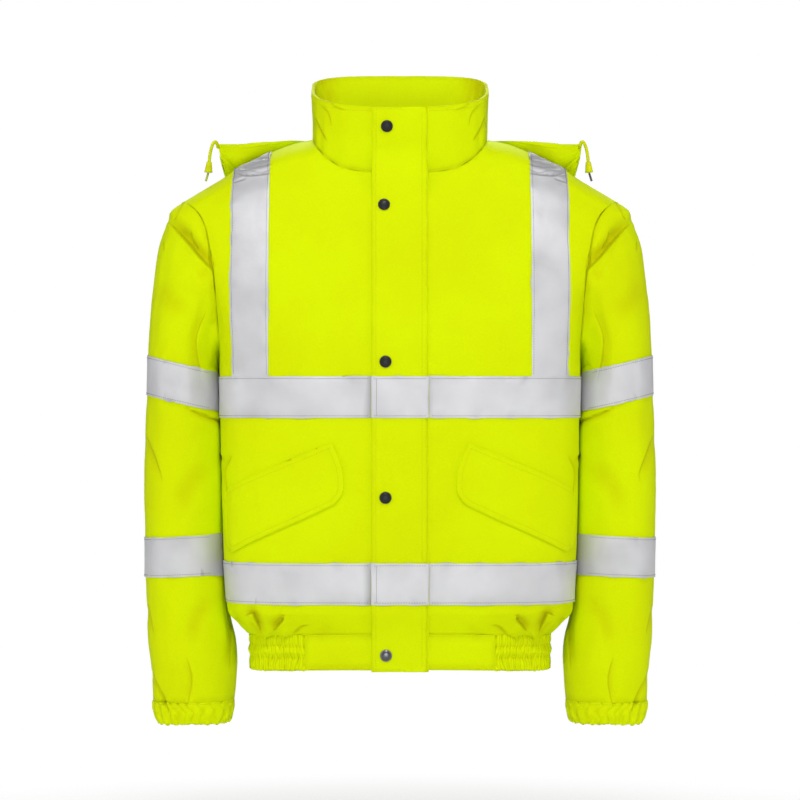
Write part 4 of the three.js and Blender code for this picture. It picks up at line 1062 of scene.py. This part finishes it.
def stitching_tree():
    """Geometry Nodes: a short thread at every stitch of each curve."""
    tree = bpy.data.node_groups.new("Stitching", "GeometryNodeTree")
    tree.interface.new_socket(name="Geometry", in_out="INPUT", socket_type="NodeSocketGeometry")
    tree_input(tree, "Pitch", FLOAT, 0.003)
    tree_input(tree, "Thread radius", FLOAT, 0.0003)
    tree_input(tree, "Material", "NodeSocketMaterial", None)
    tree.interface.new_socket(name="Geometry", in_out="OUTPUT", socket_type="NodeSocketGeometry")
    w = Wiring(tree)
    given = w.add("NodeGroupInput")
    out = w.add("NodeGroupOutput")
    points = w.add(
        "GeometryNodeCurveToPoints",
        {"Curve": given.outputs["Geometry"], "Length": given.outputs["Pitch"]},
        mode="LENGTH",
    )
    depth = w.math("MULTIPLY", given.outputs["Pitch"], 0.72)
    thread = w.add("GeometryNodeMeshUVSphere", {"Segments": 6, "Rings": 4, "Radius": 1.0})
    scale = w.add(
        "ShaderNodeCombineXYZ",
        {
            "X": given.outputs["Thread radius"],
            "Y": given.outputs["Thread radius"],
            "Z": w.math("MULTIPLY", depth, 0.5),
        },
    )
    shaped = w.add(
        "GeometryNodeTransform", {"Geometry": thread.outputs["Mesh"], "Scale": scale.outputs[0]}
    )
    rows = w.add(
        "GeometryNodeInstanceOnPoints",
        {
            "Points": points.outputs["Points"],
            "Instance": shaped.outputs[0],
            "Rotation": points.outputs["Rotation"],
        },
    )
    real = w.add("GeometryNodeRealizeInstances", {"Geometry": rows.outputs[0]})
    coloured = w.add(
        "GeometryNodeSetMaterial",
        {"Geometry": real.outputs[0], "Material": given.outputs["Material"]},
    )
    tree.links.new(coloured.outputs[0], out.inputs[0])
    return tree


def sewn(name, runs, material, slot, radius):
    """One mesh of all the stitches along the runs."""
    curve = bpy.data.curves.new(name, "CURVE")
    curve.dimensions = "3D"
    for run in runs:
        spline = curve.splines.new("POLY")
        spline.points.add(len(run) - 1)
        for point, place in zip(spline.points, run):
            point.co = (*place, 1.0)
    obj = bpy.data.objects.new(f"{name}_path", curve)
    bpy.context.scene.collection.objects.link(obj)
    tree = bpy.data.node_groups.get("Stitching") or stitching_tree()
    modifier = obj.modifiers.new("Stitching", "NODES")
    modifier.node_group = tree
    values = {"Pitch": sizes().stitch, "Thread radius": radius, "Material": material}
    for item in tree.interface.items_tree:
        if item.name in values:
            modifier[item.identifier] = values[item.name]
    mesh = evaluated(obj)
    bpy.data.objects.remove(obj)
    bpy.data.curves.remove(curve)
    return placed(name, mesh, material, slot)


STITCH_LIFT = 0.00012
CORNER_ANGLE = 42
# Rows of stitches: the node, which of its sides they follow, and how far in from it they run
CLOTH_STITCHES = (
    ("pocket_flap_right", "all", 0.0062),
    ("pocket_flap_left", "all", 0.0062),
    ("storm_flap", "left", 0.006),
    ("storm_flap", "right", 0.0015),
    ("storm_flap", "right", 0.0078),
    ("collar", "top", 0.005),
    ("collar", "bottom", 0.002),
    ("waistband_front_right", "long", 0.002),
    ("waistband_front_left", "long", 0.002),
    ("waistband_back", "long", 0.002),
    ("waistband_elastic_right", "top", 0.0116),
    ("waistband_elastic_left", "top", 0.0116),
    ("waistband_elastic_right", "top", 0.0261),
    ("waistband_elastic_left", "top", 0.0261),
    ("hood", "long", 0.011),
    ("cuff_right", "top", 0.002),
    ("cuff_left", "top", 0.002),
)

CLOTH, TAPE = "yellow_cloth", "reflective_tape"


def cloth_piece(node, rests_on=(), **form):
    """Makes a node's piece of cloth, in place of the node."""
    piece = placed(f"{node}_cloth", soft(node, **form), finishes().cloth(), CLOTH, node)


class JACKET_OT_stage(bpy.types.Operator):
    """Sets the pale floor, the soft lights and the camera"""

    bl_idname = "jacket.stage"
    bl_label = "Stage"

    def execute(self, context):
        scene = context.scene
        camera_data = bpy.data.cameras.new("camera")
        camera_data.sensor_width = SENSOR
        camera_data.lens = SENSOR * CAMERA_DISTANCE / VIEW_WIDTH
        camera = bpy.data.objects.new("camera", camera_data)
        camera.location = (0.0, -CAMERA_DISTANCE, CAMERA_HEIGHT)
        camera.rotation_euler = (math.radians(90), 0.0, 0.0)
        scene.collection.objects.link(camera)
        scene.camera = camera
        scene.view_settings.view_transform = "Standard"

        self.floor(scene)
        self.world(scene)
        for name, place, size, power in LIGHTS:
            light_data = bpy.data.lights.new(name, "AREA")
            light_data.shape = "DISK"
            light_data.size = size
            light_data.energy = power
            light = bpy.data.objects.new(name, light_data)
            light.location = place
            target = Vector((0.0, 0.0, CAMERA_HEIGHT))
            light.rotation_euler = (target - light.location).to_track_quat("-Z", "Y").to_euler()
            scene.collection.objects.link(light)
        return {"FINISHED"}

    def floor(self, scene):
        """A round pale floor, which turns as white as the studio away from the jacket."""
        bm = bmesh.new()
        bmesh.ops.create_circle(bm, cap_ends=True, segments=96, radius=FLOOR_RADIUS)
        bmesh.ops.translate(bm, verts=bm.verts, vec=(0.0, 0.0, FLOOR_Z))
        mesh = bpy.data.meshes.new("floor")
        bm.to_mesh(mesh)
        bm.free()
        floor = bpy.data.objects.new("floor", mesh)
        scene.collection.objects.link(floor)
        material = bpy.data.materials.new("pale floor")
        material.use_nodes = True
        w = Wiring(material.node_tree)
        shader = material.node_tree.nodes["Principled BSDF"]
        shader.inputs["Base Color"].default_value = (0.9, 0.9, 0.9, 1)
        shader.inputs["Roughness"].default_value = 0.9
        shader.inputs["Specular IOR Level"].default_value = 0.1
        place = w.add("ShaderNodeTexCoord").outputs["Object"]
        flat = w.add("ShaderNodeVectorMath", {0: place, 1: (1.0, 1.0, 0.0)}, operation="MULTIPLY")
        away = w.add("ShaderNodeVectorMath", {0: flat.outputs[0]}, operation="LENGTH").outputs["Value"]
        seen = w.add("ShaderNodeLightPath").outputs["Is Camera Ray"]
        white = w.math("MULTIPLY", w.ramp(away, 0.25, 0.95), seen)
        glow = w.add("ShaderNodeEmission", {"Color": (1, 1, 1, 1), "Strength": 1.0})
        both = w.add("ShaderNodeMixShader", {0: white, 1: shader.outputs[0], 2: glow.outputs[0]})
        out = material.node_tree.nodes["Material Output"]
        w.tree.links.new(both.outputs[0], out.inputs["Surface"])
        mesh.materials.append(material)

    def world(self, scene):
        world = bpy.data.worlds.new("studio")
        world.use_nodes = True
        w = Wiring(world.node_tree)
        seen = w.add("ShaderNodeLightPath").outputs["Is Camera Ray"]
        back = world.node_tree.nodes["Background"]
        back.inputs["Color"].default_value = (1, 1, 1, 1)
        w.tree.links.new(w.mix(seen, AMBIENT, 1.0, kind="FLOAT"), back.inputs["Strength"])
        scene.world = world


class JACKET_OT_drawcords(bpy.types.Operator):
    """Makes the hood's drawcords with their bells and tips"""

    bl_idname = "jacket.drawcords"
    bl_label = "Drawcords"

    def execute(self, context):
        looks = finishes()
        for side, mirror in SIDES.items():
            route = [((x - CORD_SHIFT[side]) * mirror, y, z) for x, y, z in CORD_ROUTE]
            curve = bpy.data.curves.new(f"drawcord_{side}", "CURVE")
            curve.dimensions = "3D"
            curve.bevel_depth = CORD_DIAMETER / 2
            curve.bevel_resolution = 4
            curve.resolution_u = 6
            curve.use_fill_caps = True
            spline = curve.splines.new("BEZIER")
            spline.bezier_points.add(len(route) - 1)
            for point, place in zip(spline.bezier_points, route):
                point.co = place
                point.handle_left_type = point.handle_right_type = "AUTO"
            curve.materials.append(looks.braid("drawcord", (0.8, 0.88, 0.0)))
            cord = bpy.data.objects.new(f"drawcord_{side}", curve)
            context.scene.collection.objects.link(cord)
            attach(cord, "root")
            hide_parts(f"hood_cord_{side}")
            bell = self.bell(side)
            tip = self.tip(side)
        return {"FINISHED"}

    def bell(self, side):
        mesh = subdivided(quads_of(f"cord_bell_{side}"), 2, 60)
        material = finishes().plain("cord bell", (0.74, 0.78, 0.0), 0.5, 0.15, grain=900.0)
        return placed(f"bell_{side}", mesh, material, "cord_bell", f"cord_bell_{side}")

    def tip(self, side):
        mesh = subdivided(quads_of(f"cord_tip_{side}"), 2, 60)
        if side == "left":
            material = finishes().plain("dark tip", (0.1, 0.1, 0.11), 0.35, metallic=0.4)
            return placed(f"tip_{side}", mesh, material, "cord_tip_dark", f"cord_tip_{side}")
        material = finishes().plain("yellow tip", (0.45, 0.5, 0.05), 0.4)
        return placed(f"tip_{side}", mesh, material, "cord_tip_yellow", f"cord_tip_{side}")


class JACKET_OT_body(bpy.types.Operator):
    """Makes the fronts, the back and the waistband"""

    bl_idname = "jacket.body"
    bl_label = "Body"

    def execute(self, context):
        for side in SIDES:
            cloth_piece(f"front_{side}")
            cloth_piece(f"waistband_front_{side}", pucker=0.7)
            cloth_piece(f"waistband_elastic_{side}", levels=3, sharp_angle=75, pucker=0.5, rim=0)
        cloth_piece("back")
        cloth_piece("waistband_back")
        return {"FINISHED"}


class JACKET_OT_collar(bpy.types.Operator):
    """Makes the stand collar and the storm flap"""

    bl_idname = "jacket.collar"
    bl_label = "Collar and storm flap"

    def execute(self, context):
        cloth_piece("collar", rim=0.0005, pucker=1.2, spread=0.0009)
        cloth_piece("storm_flap", ["front_left_cloth", "front_right_cloth"], pucker=0.8)
        return {"FINISHED"}


class JACKET_OT_sleeves(bpy.types.Operator):
    """Makes the sleeves and their gathered cuffs"""

    bl_idname = "jacket.sleeves"
    bl_label = "Sleeves and cuffs"

    def execute(self, context):
        for side in SIDES:
            cloth_piece(f"sleeve_{side}", pucker=1.6, spread=0.0003)
            cloth_piece(f"cuff_{side}", levels=3, sharp_angle=75, rim=0)
        return {"FINISHED"}


class JACKET_OT_pocket_flaps(bpy.types.Operator):
    """Makes the slanting pocket flaps"""

    bl_idname = "jacket.pocket_flaps"
    bl_label = "Pocket flaps"

    def execute(self, context):
        for side in SIDES:
            cloth_piece(f"pocket_flap_{side}", [f"front_{side}_cloth"], pucker=0.8, rim=0.0009)
        return {"FINISHED"}


class JACKET_OT_hood(bpy.types.Operator):
    """Makes the hood that hangs down the back"""

    bl_idname = "jacket.hood"
    bl_label = "Hood"

    def execute(self, context):
        cloth_piece("hood", ["back_cloth"], pucker=1.5)
        return {"FINISHED"}


# A snap's cap in millimetres: radius and height
CAP_PROFILE = (
    (7.1, 0.0),
    (7.35, 0.35),
    (7.35, 0.8),
    (7.0, 1.2),
    (6.5, 1.25),
    (6.1, 1.15),
    (5.7, 1.4),
    (4.8, 1.85),
    (3.6, 2.2),
    (2.2, 2.4),
    (0.8, 2.46),
)
CAP_SIDES = 40
# Name, colour, roughness, metal and coat of a snap's finish
BRIGHT = ("bright snap", (0.13, 0.13, 0.14), 0.3, 0.9, 0.3)
DARK = ("gunmetal snap", (0.008, 0.008, 0.01), 0.5, 0.0, 0.08)

TAPES = {
    "chest_tape_right": (0.308, 0.05),
    "chest_tape_left": (0.308, 0.05),
    "chest_tape_back": (0.61, 0.05),
    "chest_tape_flap": (0.069, 0.05),
    "hem_tape_right": (0.3, 0.05),
    "hem_tape_left": (0.3, 0.05),
    "hem_tape_back": (0.6, 0.05),
    "hem_tape_flap": (0.069, 0.05),
    "brace_tape_right": (0.05, 0.6),
    "brace_tape_left": (0.05, 0.6),
    "upper_sleeve_tape_right": (0.45, 0.052),
    "upper_sleeve_tape_left": (0.45, 0.052),
    "lower_sleeve_tape_right": (0.41, 0.052),
    "lower_sleeve_tape_left": (0.41, 0.052),
}


class JACKET_OT_tapes(bpy.types.Operator):
    """Makes the reflective tapes"""

    bl_idname = "jacket.tapes"
    bl_label = "Reflective tapes"

    def execute(self, context):
        tape = finishes().reflective()
        for node, flat in TAPES.items():
            piece = placed(f"{node}_strip", soft(node, pucker=1.0, rim=0.00025), tape, TAPE, node)
        return {"FINISHED"}


class JACKET_OT_snaps(bpy.types.Operator):
    """Makes the snap fasteners"""

    bl_idname = "jacket.snaps"
    bl_label = "Snaps"

    def execute(self, context):
        looks = finishes()
        for node in sorted(n for n in NODES if n.startswith("snap")):
            name, colour, roughness, metallic, coat = BRIGHT if node == "snap_hem" else DARK
            material = looks.plain(name, colour, roughness, 0.3, metallic, grain=1500.0)
            shader = material.node_tree.nodes["Principled BSDF"]
            shader.inputs["Coat Weight"].default_value = coat
            shader.inputs["Coat Roughness"].default_value = 0.15
            placed(f"{node}_cap", self.cap(node), material, "snap_metal", node)
        return {"FINISHED"}

    def cap(self, node):
        """A domed cap with a rolled rim, where the node's own cap is."""
        mesh = NODES[node].data
        base = max(mesh.polygons, key=lambda face: self.flatness(mesh, face))
        level = [face for face in mesh.polygons if face.normal.dot(base.normal) > 0.999]
        rim = [mesh.vertices[i].co for face in level for i in face.vertices]
        lowest = [sum(co[axis] for co in rim) / len(rim) for axis in range(3)]
        turn = Vector((0, 0, 1)).rotation_difference(-base.normal)
        bm = bmesh.new()
        rings = []
        for radius, height in CAP_PROFILE:
            ring = []
            for i in range(CAP_SIDES):
                angle = 2 * math.pi * i / CAP_SIDES
                spot = Vector((radius * math.cos(angle), radius * math.sin(angle), height)) * MM
                ring.append(bm.verts.new(turn @ spot + Vector(lowest)))
            rings.append(ring)
        for low, high in zip(rings, rings[1:]):
            for i in range(CAP_SIDES):
                j = (i + 1) % CAP_SIDES
                bm.faces.new((low[i], low[j], high[j], high[i]))
        bm.faces.new(rings[0][::-1])
        bm.faces.new(rings[-1])
        made = bpy.data.meshes.new(node)
        bm.to_mesh(made)
        bm.free()
        return made

    def flatness(self, mesh, face):
        return sum(other.area for other in mesh.polygons if other.normal.dot(face.normal) > 0.999)


class JACKET_OT_stitches(bpy.types.Operator):
    """Sews the rows of stitches"""

    bl_idname = "jacket.stitches"
    bl_label = "Stitches"

    def execute(self, context):
        dressed = {}
        for obj in context.scene.objects:
            for suffix in ("_cloth", "_strip"):
                if obj.name.endswith(suffix):
                    dressed[obj.name.removesuffix(suffix)] = obj.data
        looks = finishes()
        grey = looks.plain("grey thread", (0.12, 0.12, 0.14), 0.8, specular=0.1)
        yellow = looks.plain("yellow thread", (0.54, 0.6, 0.0), 0.8, specular=0.1)
        runs = []
        for node in TAPES:
            runs += stitch_runs(node, dressed[node], "long", 0.0024)
        for node in ("chest_tape_flap", "hem_tape_flap"):
            runs += stitch_runs(node, dressed[node], "left", 0.006)
        sewn("tape_stitches", runs, grey, TAPE, 0.00034)
        runs = []
        for node, which, inset in CLOTH_STITCHES:
            runs += stitch_runs(node, dressed[node], which, inset)
        sewn("cloth_stitches", runs, yellow, CLOTH, 0.00036)
        return {"FINISHED"}


class JACKET_PT_pieces(bpy.types.Panel):
    """Lists the jacket's sizes and pieces"""

    bl_label = "Work jacket"
    bl_idname = "JACKET_PT_pieces"
    bl_space_type = "VIEW_3D"
    bl_region_type = "UI"
    bl_category = "Jacket"

    def draw(self, context):
        for name in JacketSizes.__annotations__:
            self.layout.prop(context.scene.jacket_sizes, name)
        for operator in OPERATORS:
            self.layout.operator(operator.bl_idname)


OPERATORS = (
    JACKET_OT_stage,
    JACKET_OT_drawcords,
    JACKET_OT_body,
    JACKET_OT_collar,
    JACKET_OT_sleeves,
    JACKET_OT_pocket_flaps,
    JACKET_OT_hood,
    JACKET_OT_tapes,
    JACKET_OT_snaps,
    JACKET_OT_stitches,
)
CLASSES = (JacketSizes, *OPERATORS, JACKET_PT_pieces)


def register():
    for cls in CLASSES:
        bpy.utils.register_class(cls)
    bpy.types.Scene.jacket_sizes = bpy.props.PointerProperty(type=JacketSizes)


def unregister():
    del bpy.types.Scene.jacket_sizes
    for cls in reversed(CLASSES):
        bpy.utils.unregister_class(cls)


def main():
    register()
    for operator in OPERATORS:
        group, name = operator.bl_idname.split(".")
        getattr(getattr(bpy.ops, group), name)()


if __name__ == "__main__":
    main()
